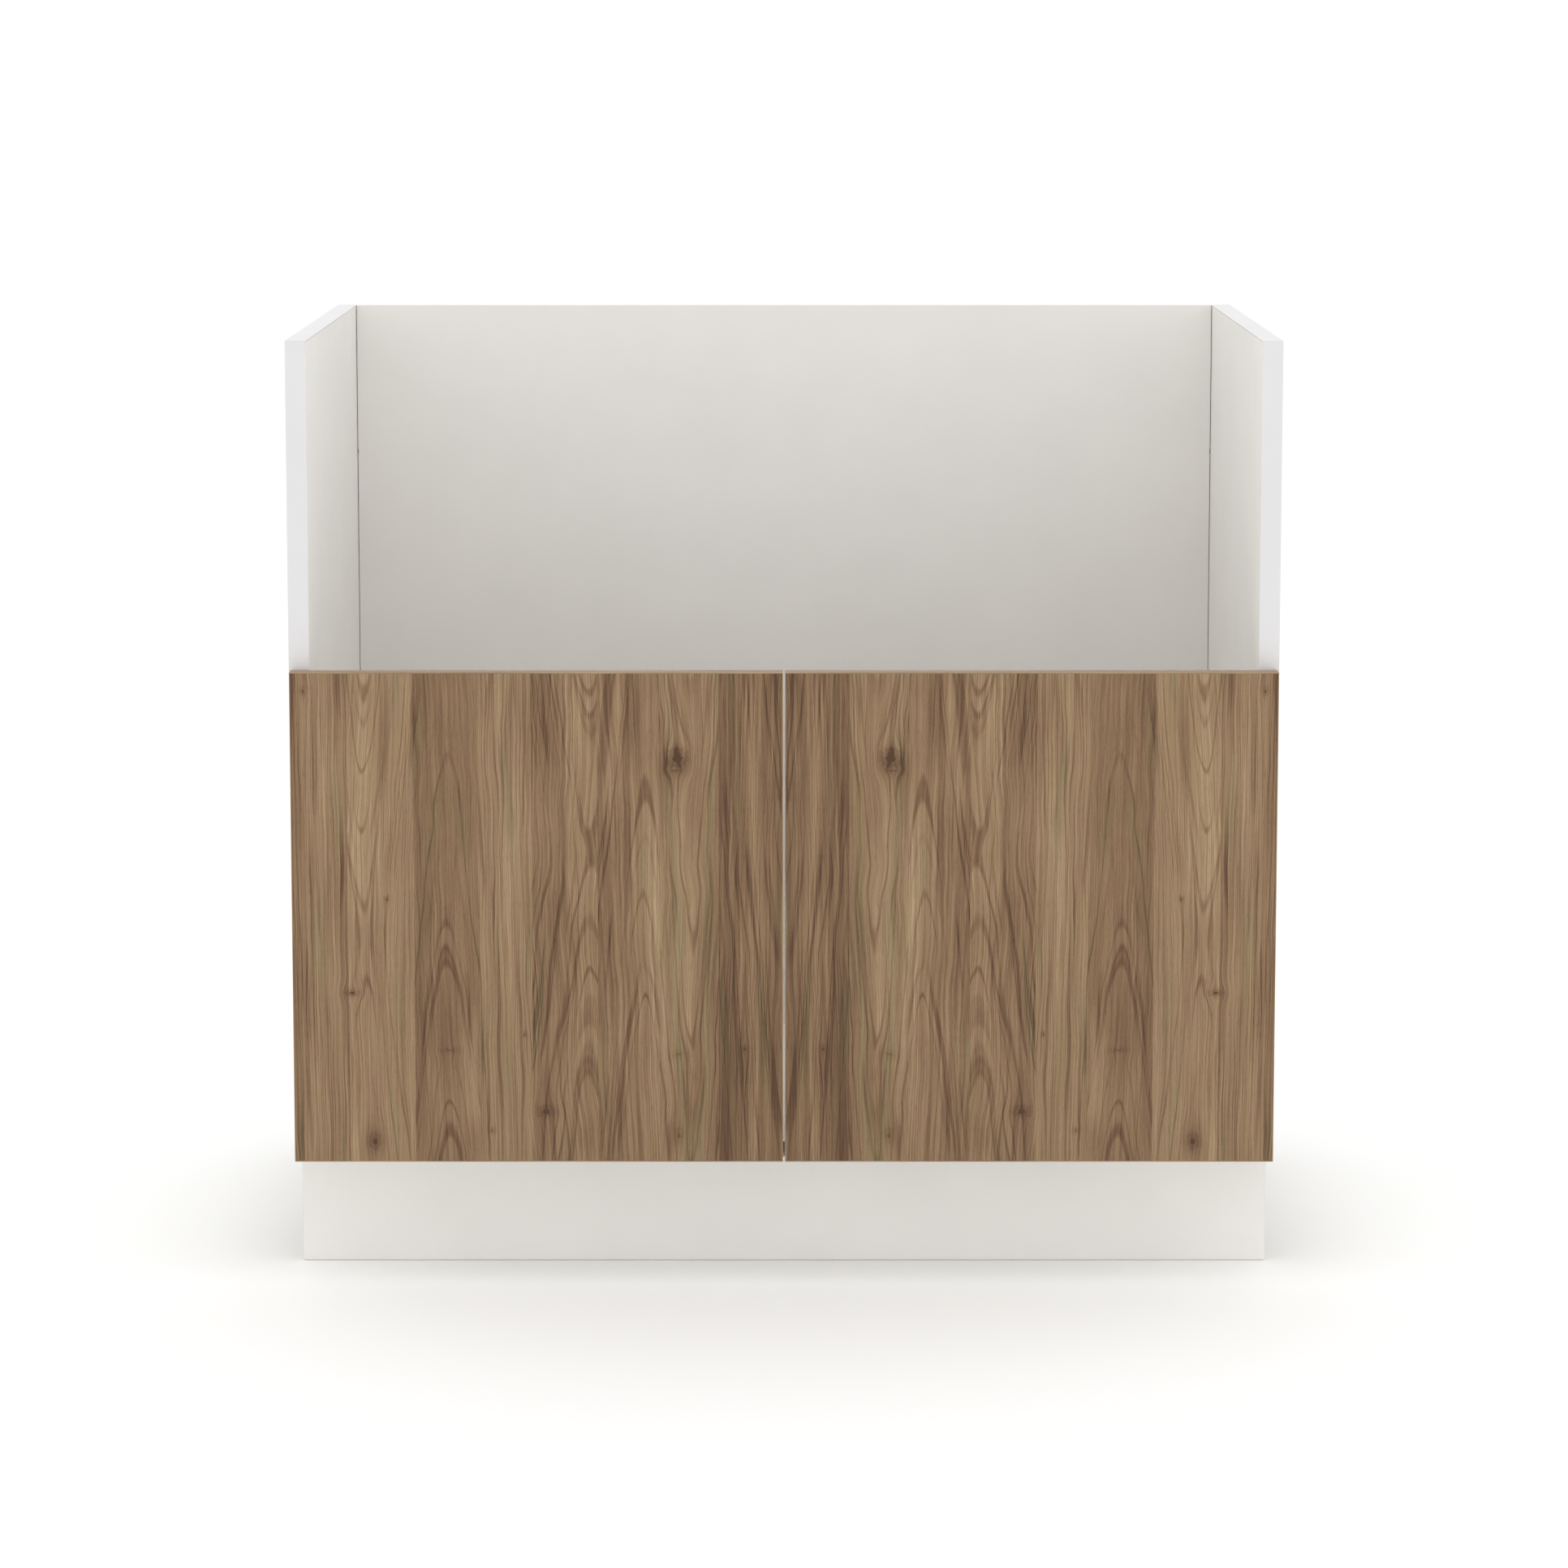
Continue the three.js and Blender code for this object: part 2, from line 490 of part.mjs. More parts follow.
function addHinges() {
  for (const [sideName, side] of Object.entries(SIDES)) {
    for (const [heightName, z] of Object.entries(HINGE_HEIGHTS)) {
      const label = `${heightName}_${sideName}`;
      const place = [inward(side, SIDE_THICKNESS), CARCASS_FRONT_Y, z];
      const armPin = planPoint(side, ARM_PIN);
      const cupPin = planPoint(side, CUP_PIN);
      const armHalf = ARM_INNER_HALF_HEIGHT + ARM_SHEET;
      const armPinShape = uprightRod(HINGE_PIN_RADIUS, z - armHalf, z + armHalf).translate(armPin.x, armPin.y, 0);
      const cupPinHalf = cupPinHalfLength();
      const cupPinShape = uprightRod(HINGE_PIN_RADIUS, z - cupPinHalf, z + cupPinHalf)
        .translate(cupPin.x, cupPin.y, 0);
      addPiece(`hinge_plate_${label}`, plateShape(side, z), MATERIALS.nickel, place);
      addPiece(`hinge_arm_${label}`, armShape(side, z), MATERIALS.nickel, place);
      addPiece(`hinge_arm_pin_${label}`, armPinShape, MATERIALS.zincSteel, place);
      addPiece(`hinge_link_${label}`, linkShape(side, z), MATERIALS.nickel, place);
      addPiece(`hinge_cup_pin_${label}`, cupPinShape, MATERIALS.zincSteel, place);
      addPiece(`hinge_cup_${label}`, cupShape(side, z), MATERIALS.nickel, place);
    }
  }
}

addSidePanels();
addBottomAndBack();
addScrews();
addFeet();
addToeKick();
addDoors();
addHinges();

export default cabinet;
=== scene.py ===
"""The looks of an apron-front sink base cabinet: white melamine carcass, planked walnut doors,
nickel cup hinges, black plastic feet. Every place comes from the frame; lengths are in mm."""
from collections import namedtuple
import math

import bmesh
import bpy
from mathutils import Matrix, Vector


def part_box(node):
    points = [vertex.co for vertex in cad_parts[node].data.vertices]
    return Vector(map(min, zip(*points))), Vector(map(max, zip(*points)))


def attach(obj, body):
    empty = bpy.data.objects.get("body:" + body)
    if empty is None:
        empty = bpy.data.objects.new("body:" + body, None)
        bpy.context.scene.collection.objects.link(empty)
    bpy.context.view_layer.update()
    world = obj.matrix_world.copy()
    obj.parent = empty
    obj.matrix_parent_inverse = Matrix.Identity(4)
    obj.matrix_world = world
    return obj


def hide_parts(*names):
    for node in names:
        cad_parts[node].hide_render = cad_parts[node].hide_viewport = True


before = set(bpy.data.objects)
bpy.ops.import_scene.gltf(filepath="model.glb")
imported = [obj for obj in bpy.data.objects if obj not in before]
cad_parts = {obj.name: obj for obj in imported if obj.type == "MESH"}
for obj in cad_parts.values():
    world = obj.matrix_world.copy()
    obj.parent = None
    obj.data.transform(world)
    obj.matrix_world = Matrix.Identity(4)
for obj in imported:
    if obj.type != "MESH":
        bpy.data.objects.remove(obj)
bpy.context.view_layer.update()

MM = 0.001
SIDES = {"left": -1, "right": 1}
HEIGHTS = ("upper", "lower")


# ---------------------------------------------------------------- frame measures, in mm

def corners(node):
    low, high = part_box(node)
    return Vector(low) / MM, Vector(high) / MM


def middle(node):
    low, high = corners(node)
    return (low + high) / 2


DOOR_OUTER_X, DOOR_BACK_Y, DOOR_TOP_Z = corners("door_right")[1]


# ---------------------------------------------------------------- camera and light

# Metres, degrees, the lens in mm and the lamps' power in watts.
CAMERA_PLACE = (0.0, -5.2875, 1.1816)
CAMERA_PITCH = 8.13
CAMERA_LENS = 125.1
SENSOR_WIDTH = 36
ROOM_BRIGHTNESS = 1.07
LAMP_SIZE = 2.0
SIDE_LAMP_PLACE = Vector((3.0, -0.8, 2.0))
SIDE_LAMP_TARGET = (0.0, 0.0, 0.6)
SIDE_LAMP_POWER = 7.6
FRONT_LAMP_PLACE = (0.0, -2.6, 3.4)
FRONT_LAMP_TARGET = (0.0, 0.2, 0.5)
FRONT_LAMP_POWER = 4.0


def make_camera():
    data = bpy.data.cameras.new("camera")
    data.lens = CAMERA_LENS
    data.sensor_width = SENSOR_WIDTH
    camera = bpy.data.objects.new("camera", data)
    camera.location = CAMERA_PLACE
    camera.rotation_euler = (math.radians(90 - CAMERA_PITCH), 0, 0)
    bpy.context.collection.objects.link(camera)
    bpy.context.scene.camera = camera


def make_light():
    world = bpy.data.worlds.new("studio")
    world.use_nodes = True
    background = world.node_tree.nodes["Background"]
    background.inputs["Color"].default_value = (1, 1, 1, 1)
    background.inputs["Strength"].default_value = ROOM_BRIGHTNESS
    bpy.context.scene.world = world
    for name, side in SIDES.items():
        place = SIDE_LAMP_PLACE * Vector((side, 1, 1))
        add_area_light(f"soft_{name}", place, SIDE_LAMP_TARGET, SIDE_LAMP_POWER)
    add_area_light("soft_front", FRONT_LAMP_PLACE, FRONT_LAMP_TARGET, FRONT_LAMP_POWER)


def add_area_light(name, place, target, power):
    data = bpy.data.lights.new(name, "AREA")
    data.energy = power
    data.size = LAMP_SIZE
    light = bpy.data.objects.new(name, data)
    light.location = place
    direction = Vector(target) - Vector(place)
    light.rotation_euler = direction.to_track_quat("-Z", "Y").to_euler()
    bpy.context.collection.objects.link(light)


# ---------------------------------------------------------------- materials: a small node language

class Field:
    """A number that varies over the surface: a node's output with arithmetic."""

    def __init__(self, material, output):
        self.material = material
        self.output = output

    def apply(self, operation, *values):
        """One Math node with this field as its first number."""
        node = self.material.node("ShaderNodeMath", operation=operation)
        for slot, value in zip(node.inputs, (self, *values)):
            self.material.feed(slot, value)
        return Field(self.material, node.outputs[0])

    def __add__(self, other):
        return self.apply("ADD", other)

    def __sub__(self, other):
        return self.apply("SUBTRACT", other)

    def __mul__(self, other):
        return self.apply("MULTIPLY", other)

    def __truediv__(self, other):
        return self.apply("DIVIDE", other)

    def __neg__(self):
        return self * -1.0

    def __abs__(self):
        return self.apply("ABSOLUTE")

    def above(self, limit):
        return self.apply("GREATER_THAN", limit)

    def squared(self):
        return self * self

    def root(self):
        return self.apply("SQRT")

    def fading(self, rate=1.0):
        """1 at 0, falling towards 0 as the field grows."""
        node = self.material.node("ShaderNodeMath", operation="POWER")
        node.inputs[0].default_value = math.exp(-rate)
        self.material.feed(node.inputs[1], self)
        return Field(self.material, node.outputs[0])

    def plus(self, field, share):
        """This field with a share of another added."""
        node = self.material.node("ShaderNodeMath", operation="MULTIPLY_ADD")
        for slot, value in zip(node.inputs, (field, share, self)):
            self.material.feed(slot, value)
        return Field(self.material, node.outputs[0])

    def ramped(self, low, high):
        """0 below low, 1 above high, smooth between."""
        node = self.material.node("ShaderNodeMapRange", interpolation_type="SMOOTHSTEP")
        for slot, value in zip(node.inputs, (self, low, high, 0.0, 1.0)):
            self.material.feed(slot, value)
        return Field(self.material, node.outputs[0])


class Material:
    """One procedural material round a Principled shader."""

    def __init__(self, name):
        self.data = bpy.data.materials.new(name)
        self.data.use_nodes = True
        self.tree = self.data.node_tree
        self.shader = self.tree.nodes["Principled BSDF"]

    def node(self, kind, **settings):
        made = self.tree.nodes.new(kind)
        for key, value in settings.items():
            setattr(made, key, value)
        return made

    def feed(self, slot, value):
        if isinstance(value, Field):
            self.tree.links.new(value.output, slot)
        elif isinstance(value, bpy.types.NodeSocket):
            self.tree.links.new(value, slot)
        else:
            slot.default_value = value

    def place(self):
        """The point's x, y and z in the cabinet's frame, in mm."""
        coordinates = self.node("ShaderNodeTexCoord")
        split = self.node("ShaderNodeSeparateXYZ")
        self.feed(split.inputs[0], coordinates.outputs["Object"])
        return [Field(self, out) * (1 / MM) for out in split.outputs]

    def vector(self, x, y=0.0, z=0.0):
        node = self.node("ShaderNodeCombineXYZ")
        for slot, value in zip(node.inputs, (x, y, z)):
            self.feed(slot, value)
        return node.outputs[0]

    def noise(self, x, y=0.0, z=0.0, detail=2.0, roughness=0.5):
        """Smooth noise of 0 to 1 with features one unit apart."""
        node = self.node("ShaderNodeTexNoise")
        self.feed(node.inputs["Vector"], self.vector(x, y, z))
        node.inputs["Scale"].default_value = 1.0
        node.inputs["Detail"].default_value = detail
        node.inputs["Roughness"].default_value = roughness
        return Field(self, node.outputs[0])

    def ellipse(self, point, centre, half_size):
        """The squared distance from an ellipse's centre: 0 there, 1 on its rim."""
        scaled = self.node("ShaderNodeVectorMath", operation="MULTIPLY_ADD")
        self.feed(scaled.inputs[0], point)
        scaled.inputs[1].default_value = (1 / half_size[0], 1 / half_size[1], 0)
        scaled.inputs[2].default_value = (-centre[0] / half_size[0], -centre[1] / half_size[1], 0)
        squared = self.node("ShaderNodeVectorMath", operation="DOT_PRODUCT")
        self.feed(squared.inputs[0], scaled.outputs[0])
        self.feed(squared.inputs[1], scaled.outputs[0])
        return Field(self, squared.outputs["Value"])

    def colours(self, factor, *stops):
        """A colour that runs through (position, sRGB bytes) stops."""
        node = self.node("ShaderNodeValToRGB")
        elements = node.color_ramp.elements
        while len(elements) < len(stops):
            elements.new(0.5)
        for element, (position, colour) in zip(elements, stops):
            element.position = position
            element.color = (*linear(colour), 1)
        self.feed(node.inputs[0], factor)
        return node.outputs["Color"]

    def mixed(self, first, second, factor):
        node = self.node("ShaderNodeMix", data_type="RGBA")
        self.feed(node.inputs["Factor"], factor)
        self.feed(node.inputs[6], first)
        self.feed(node.inputs[7], second)
        return node.outputs[2]

    def surface(self, colour, roughness, height=None, depth=0.1, metallic=0.0):
        """Finishes the material. depth is the bump's height in mm."""
        self.feed(self.shader.inputs["Base Color"], colour)
        self.feed(self.shader.inputs["Roughness"], roughness)
        self.shader.inputs["Metallic"].default_value = metallic
        if height is not None:
            bump = self.node("ShaderNodeBump")
            bump.inputs["Strength"].default_value = 1.0
            bump.inputs["Distance"].default_value = depth * MM
            self.feed(bump.inputs["Height"], height)
            self.feed(self.shader.inputs["Normal"], bump.outputs[0])
        return self.data


def linear(colour):
    """sRGB bytes as linear light."""
    shares = [value / 255 for value in colour]
    return [share / 12.92 if share <= 0.04045 else ((share + 0.055) / 1.055) ** 2.4 for share in shares]


# ---------------------------------------------------------------- walnut laminate

Plank = namedtuple("Plank", "end tones centre slope level rounding waviness lines")

# Where a plank ends, its tones at the left, middle and right, its growth rings' centre from its left
# edge, their slope, level, rounding and waviness, and how strong its straight lines are. Distances
# are in mm from the door's outer edge and top. Tones run from 0, dark, to 1, pale.
PLANKS = (
    Plank(52, (0.52, 0.76, 0.56), -60, 0.02, 0, 10, 4, 1.0),
    Plank(113, (0.74, 0.70, 0.76), 15, 0.10, 255, 9, 6, 0.6),
    Plank(173, (0.46, 0.48, 0.62), 31, 0.11, -60, 14, 7, 0.5),
    Plank(222, (0.70, 0.74, 0.70), -50, 0.02, 0, 10, 6, 1.0),
    Plank(283, (0.54, 0.60, 0.72), 54, 0.12, 165, 14, 9, 0.9),
    Plank(340, (0.54, 0.54, 0.68), 43, 0.10, -90, 12, 6, 0.9),
    Plank(395, (0.70, 0.70, 0.56), 30, 0.06, 600, 10, 9, 0.6),
    Plank(460, (0.34, 0.54, 0.42), 80, 0.06, 700, 30, 5, 0.9),
)
# How far round a knot the grain bends, across and along it in the knot's own sizes, and how much.
BEND_REACH = (3.2, 5.5)
BEND_STRENGTH = 0.85
# How blunt the arches' tips are.
ARCH_ROUNDING = 20
# Each knot: its place, its half width and half height, and how dark it is.
KNOTS = (
    (357, 79, 4.6, 4.2, 0.9),
    (355, 91, 3.6, 0.9, 0.45),
    (12.5, 17, 1.4, 2.2, 0.6),
    (88, 211, 1.2, 1.5, 0.7),
    (55, 299, 3.2, 1.6, 0.8),
    (75, 439, 2.6, 3.5, 0.8),
    (144, 353, 4.0, 1.2, 0.4),
    (184, 429, 1.4, 1.6, 0.6),
    (215, 338, 1.0, 1.6, 0.6),
    (234, 411, 4.4, 2.6, 0.7),
    (358, 357, 3.4, 2.0, 0.35),
    (358, 434, 2.2, 3.6, 0.45),
    (419, 352, 1.3, 2.2, 0.7),
)
# Soft lighter and darker patches: place, half width and half height, and how much paler.
PATCHES = (
    (5, 260, 7, 400, -0.06),
    (14, 20, 16, 60, 0.12),
    (67, 110, 8, 120, 0.12),
    (86, 50, 7, 80, -0.14),
    (88, 180, 9, 60, 0.12),
    (73, 440, 8, 22, -0.20),
    (102, 330, 8, 110, -0.13),
    (122, 360, 8, 120, -0.06),
    (136, 60, 14, 90, 0.10),
    (116, 190, 7, 70, 0.10),
    (145, 330, 10, 45, -0.14),
    (165, 370, 8, 40, 0.08),
    (166, 442, 7, 22, -0.14),
    (264, 40, 12, 80, 0.14),
    (248, 320, 9, 40, 0.12),
    (268, 437, 10, 22, -0.14),
    (290, 80, 8, 60, 0.16),
    (309, 130, 5, 130, -0.14),
    (319, 40, 8, 45, -0.16),
    (333, 190, 9, 90, 0.08),
    (345, 310, 7, 60, 0.12),
    (350, 437, 10, 22, -0.14),
    (350, 104, 7, 30, -0.12),
    (353, 87, 11, 13, -0.18),
    (373, 130, 6, 60, -0.14),
    (368, 300, 10, 90, 0.10),
    (387, 40, 7, 60, 0.18),
    (402, 330, 7, 160, -0.08),
    (429, 240, 6, 300, 0.08),
)


def plank_picker(across):
    """A function that turns one value per plank into a field that steps at the planks' joints."""
    inside = [across.above(plank.end) for plank in PLANKS[:-1]]

    def pick(values):
        steps = [gate * (after - before) for gate, before, after in zip(inside, values, values[1:])]
        total = steps[0]
        for step in steps[1:]:
            total = total + step
        return total + values[0]

    return pick


def plank_tone(across, pick):
    """The planks' own tone: it runs from the left one through the middle one to the right one."""
    starts = [0, *[plank.end for plank in PLANKS[:-1]]]
    widths = [plank.end - start for start, plank in zip(starts, PLANKS)]
    share = (across - pick(starts)) / pick(widths)
    left, centre, right = [pick([plank.tones[place] for plank in PLANKS]) for place in range(3)]
    rise = (share * 2).apply("MINIMUM", 1.0)
    fall = (share * 2 - 1).apply("MAXIMUM", 0.0)
    return left + (centre - left) * rise + (right - centre) * fall


def highest(fields):
    result = fields[0]
    for field in fields[1:]:
        result = result.apply("MAXIMUM", field)
    return result


def knot_fields(material, across, down, number):
    """The place across once the grain bends round the knots, the knots' darkness and their halo's."""
    jitter = (material.noise(across * 0.35, down * 0.35, number, detail=2) - 0.5) * 2.0
    face = material.vector(across, down)
    bent = across
    spots = []
    halos = []
    for knot_across, knot_down, half_width, half_height, darkness in KNOTS:
        place = (knot_across, knot_down)
        reach = (half_width * BEND_REACH[0], half_height * BEND_REACH[1])
        push = material.ellipse(face, place, reach).fading()
        bent = bent.plus((across - knot_across) * push, -BEND_STRENGTH * darkness)
        far = material.ellipse(face, place, (half_width, half_height)).root() + jitter
        core = far.squared().fading(1.6)
        rim = (far - 1.9).squared().fading(10)
        spots.append(core.plus(rim, 0.2) * darkness)
        halos.append(far.squared().fading(0.14) * darkness)
    return bent, highest(spots), highest(halos)


def growth_rings(bent, down, pick):
    """How far out in the log a place lies, in mm: arches in the middle of a plank, straight beside."""
    starts = [0, *[plank.end for plank in PLANKS[:-1]]]
    centre = pick([start + plank.centre for start, plank in zip(starts, PLANKS)])
    slope, level, rounding = [pick(values) for values in zip(*[plank[3:6] for plank in PLANKS])]
    radius = ((bent - centre).squared() + rounding.squared()).root()
    return radius - slope * ((down - level).squared() + ARCH_ROUNDING ** 2).root()


def crest(field):
    """1 where a field is at its middle value, 0 at its ends: thin lines out of smooth noise."""
    return -abs(field * 2 - 1) + 1


def walnut_tone(material, across, down):
    """The wood's tone, its hue and its grain's relief, at a place on the door's face.
    What multiplies a place in a noise is how many of its features lie in a millimetre."""
    pick = plank_picker(across)
    number = pick([index * 7.3 for index in range(len(PLANKS))])
    waviness = pick([plank.waviness for plank in PLANKS])
    line_strength = pick([plank.lines for plank in PLANKS])
    bent, knot_dark, knot_shade = knot_fields(material, across, down, number)
    wander = material.noise(across * 0.022, down * 0.009, number, detail=2) - 0.5
    ripple = material.noise(across * 0.08, down * 0.025, number, detail=1) - 0.5
    bent = bent + wander * waviness * 1.7 + ripple * waviness * 0.2
    rings = growth_rings(bent, down, pick)

    # Growth rings: broad bands, and thin dark lines that come and go.
    broad = material.noise(rings * 0.055, down * 0.0025, number, detail=1)
    growth = material.noise(rings * 0.2, down * 0.003, number, detail=1, roughness=0.4)
    presence = material.noise(rings * 0.12 + 40, down * 0.005, number, detail=1).ramped(0.38, 0.58)
    ring_lines = crest(growth).ramped(0.88, 0.99) * presence
    # Straighter lines, which follow the board more than the rings, from wide to hair-thin.
    weave = bent * 0.8 + rings * 0.2
    late = material.noise(weave * 0.36, down * 0.003, number, detail=1, roughness=0.6)
    late_lines = crest(late).ramped(0.74, 0.97)
    straight = material.noise(weave * 0.7 + 30, down * 0.006, number, detail=2, roughness=0.6)
    hair = material.noise(weave * 1.5, down * 0.010, number, detail=3, roughness=0.75)
    # Short pores, flecks and cloudy patches.
    pores = material.noise(bent * 2.6, down * 0.09, number, detail=1).ramped(0.58, 0.74)
    flecks = material.noise(across * 1.6, down * 0.5, number, detail=1) - 0.5
    clouds = material.noise(across * 0.028, down * 0.008, number, detail=2) - 0.5

    tone = plank_tone(across, pick) + (broad - 0.5) * 0.30 + clouds * 0.30
    tone = tone + ((straight - 0.5) * 0.62 - late_lines * 0.15) * line_strength
    tone = tone + (hair - 0.5) * 0.86 - ring_lines * 0.29 - pores * 0.14 + flecks * 0.14
    tone = tone - knot_shade * 0.18 - knot_dark * 0.54
    bent_face = material.vector(bent, down)
    for patch_across, patch_down, half_width, half_height, change in PATCHES:
        near = material.ellipse(bent_face, (patch_across, patch_down), (half_width, half_height))
        tone = tone.plus(near.fading(), change)
    hue = material.noise(rings * 0.08 + 90, down * 0.005, number, detail=1)
    relief = -(ring_lines * 0.4 + pores + knot_dark - hair * 0.6)
    return tone, hue, relief


WOOD_STOPS = (
    (0.0, (80, 58, 41)),
    (0.25, (107, 82, 59)),
    (0.5, (132, 106, 78)),
    (0.75, (154, 129, 98)),
    (1.0, (176, 153, 120)),
)
OLIVE_SHIFT = (-6, -1, -2)
ROSY_SHIFT = (1, 0, 1)


def shifted(stops, shift):
    """Colour stops with some sRGB steps added to each colour."""
    return [(place, [value + change for value, change in zip(colour, shift)]) for place, colour in stops]


def walnut_face():
    """The doors' faces: planked walnut, mirrored about the gap between the doors."""
    material = Material("walnut_laminate")
    x, y, z = material.place()
    across = -(abs(x) - DOOR_OUTER_X)
    down = -(z - DOOR_TOP_Z)
    tone, hue, relief = walnut_tone(material, across, down)
    olive = material.colours(tone, *shifted(WOOD_STOPS, OLIVE_SHIFT))
    rosy = material.colours(tone, *shifted(WOOD_STOPS, ROSY_SHIFT))
    colour = material.mixed(olive, rosy, hue.ramped(0.30, 0.44))
    sheen = material.noise(x * 0.02, y * 0.02, z * 0.01) - 0.5
    # Rougher in the pores and lines, which the relief holds as negative numbers.
    roughness = relief * -0.06 + 0.48 + sheen * 0.08
    material.shader.inputs["Specular IOR Level"].default_value = 0.2
    return material.surface(colour, roughness, relief, depth=0.05)


def walnut_band(name, lengthwise):
    """Edge banding: plain straight grain along the edge. lengthwise is 0 for x and 2 for z."""
    material = Material(name)
    place = material.place()
    along = place[lengthwise] * 0.008
    crossing = place[1]
    other = place[2 - lengthwise] * 0.05
    fine = material.noise(crossing * 0.9, along, other, detail=3, roughness=0.6)
    broad = material.noise(crossing * 0.12, along, other, detail=1)
    pores = material.noise(crossing * 2.2, along * 4, other, detail=1).ramped(0.58, 0.74)
    tone = (fine - 0.5) * 0.5 + (broad - 0.5) * 0.5 - pores * 0.12 + 0.72
    colour = material.colours(tone, *WOOD_STOPS)
    return material.surface(colour, pores * 0.1 + 0.5, pores * -1, depth=0.04)


# ---------------------------------------------------------------- boards, plastic and metal

def melamine(name, shade, rough):
    """White melamine or edge band: a fine orange-peel skin, faint mottling and rubbed smudges."""
    material = Material(name)
    x, y, z = material.place()
    peel = material.noise(x * 0.9, y * 0.9, z * 0.9, detail=2)
    grain = material.noise(x * 3.5, y * 3.5, z * 3.5, detail=1)
    mottle = material.noise(x * 0.012, y * 0.012, z * 0.012, detail=3) - 0.5
    smudge = material.noise(x * 0.006, y * 0.01, z * 0.004, detail=4, roughness=0.7).ramped(0.5, 0.75)
    low = [value - 4 for value in shade]
    high = [value + 2 for value in shade]
    colour = material.colours(mottle * 1.2 + 0.5, (0.0, low), (1.0, high))
    return material.surface(colour, smudge * 0.07 + rough, peel + grain * 0.3, depth=0.035)


CORE_STOPS = (
    (0.0, (138, 112, 82)),
    (0.5, (180, 155, 121)),
    (1.0, (211, 190, 159)),
)


def particle_board(name):
    """The raw core where a board has no band: pressed chips in a pale resin."""
    material = Material(name)
    x, y, z = material.place()
    flakes = material.node("ShaderNodeTexVoronoi")
    material.feed(flakes.inputs["Vector"], material.vector(x * 0.9, y * 0.6, z * 0.9))
    flakes.inputs["Scale"].default_value = 1.0
    chip = material.node("ShaderNodeSeparateColor")
    material.feed(chip.inputs[0], flakes.outputs["Color"])
    shade = Field(material, chip.outputs[0])
    dust = material.noise(x * 2.2, y * 2.2, z * 2.2, detail=2)
    tone = shade * 0.7 + dust * 0.3
    colour = material.colours(tone, *CORE_STOPS)
    return material.surface(colour, 0.85, tone, depth=0.25)


def moulded_plastic(name, shade, rough):
    """Injection-moulded plastic: a fine spark-eroded texture, faint clouds and pale scuffs."""
    material = Material(name)
    x, y, z = material.place()
    sparks = material.noise(x * 2.4, y * 2.4, z * 2.4, detail=2)
    cloud = material.noise(x * 0.05, y * 0.05, z * 0.05, detail=2)
    scuffs = material.noise(x * 0.2, y * 0.2, z * 0.9, detail=3, roughness=0.7).ramped(0.62, 0.8)
    light = [min(255, value + 16) for value in shade]
    colour = material.colours(cloud * 0.6 + scuffs * 0.5, (0.0, shade), (1.0, light))
    return material.surface(colour, sparks * 0.12 + rough, sparks, depth=0.05)


def plated_steel(name, shade, rough):
    """Plated pressed steel: fine upright rolling lines, faint clouds and rubbed spots."""
    material = Material(name)
    place = material.place()
    stretched = [value * density for value, density in zip(place, (5.0, 5.0, 0.15))]
    brushed = material.noise(*stretched, detail=3, roughness=0.6)
    clouds = material.noise(*[value * 0.12 for value in place], detail=3) - 0.5
    spots = material.noise(*[value * 0.8 for value in place], detail=3, roughness=0.7).ramped(0.6, 0.75)
    dark = [value - 22 for value in shade]
    colour = material.colours(brushed + clouds * 0.5, (0.1, dark), (0.9, shade))
    roughness = brushed * 0.12 + spots * 0.08 + clouds * 0.06 + rough
    return material.surface(colour, roughness, brushed, depth=0.012, metallic=1.0)


def soft_clear(name):
    """Clear soft polyurethane, clouded by dust."""
    material = Material(name)
    x, y, z = material.place()
    dust = material.noise(x * 1.3, y * 1.3, z * 1.3, detail=3)
    colour = material.colours(dust, (0.2, (205, 206, 200)), (0.8, (232, 232, 226)))
    material.shader.inputs["Transmission Weight"].default_value = 0.55
    material.shader.inputs["IOR"].default_value = 1.49
    return material.surface(colour, dust * 0.2 + 0.12, dust, depth=0.03)


def floor_paint(name):
    """A matt, nearly white floor with the faintest clouds."""
    material = Material(name)
    x, y, _ = material.place()
    cloud = material.noise(x * 0.001, y * 0.001, detail=2)
    colour = material.colours(cloud, (0.3, (250, 250, 249)), (0.7, (252, 252, 251)))
    return material.surface(colour, 0.9)


WALNUT = walnut_face()
WALNUT_BAND_X = walnut_band("walnut_band_level", 0)
WALNUT_BAND_Z = walnut_band("walnut_band_upright", 2)
WHITE = melamine("white_melamine", (238, 236, 232), 0.42)
WHITE_BAND = melamine("white_edge_band", (221, 220, 221), 0.36)
WORN = melamine("worn_white_edge", (224, 219, 210), 0.55)
CORE = particle_board("particle_board")
NICKEL = plated_steel("nickel_plate", (196, 192, 184), 0.22)
ZINC = plated_steel("zinc_plate", (178, 180, 180), 0.3)
BLACK = moulded_plastic("black_plastic", (24, 24, 25), 0.42)
CLEAR = soft_clear("clear_bumper")


# ---------------------------------------------------------------- mesh building, in mm

SHARP_ANGLE = math.radians(40)
BEVEL_ANGLE = math.radians(35)


def mesh_data(mesh, name):
    """A bmesh in mm as mesh data in metres, with its faces pointing out."""
    mesh.normal_update()
    bmesh.ops.recalc_face_normals(mesh, faces=mesh.faces)
    bmesh.ops.scale(mesh, vec=(MM, MM, MM), verts=mesh.verts)
    data = bpy.data.meshes.new(name)
    mesh.to_mesh(data)
    mesh.free()
    return data


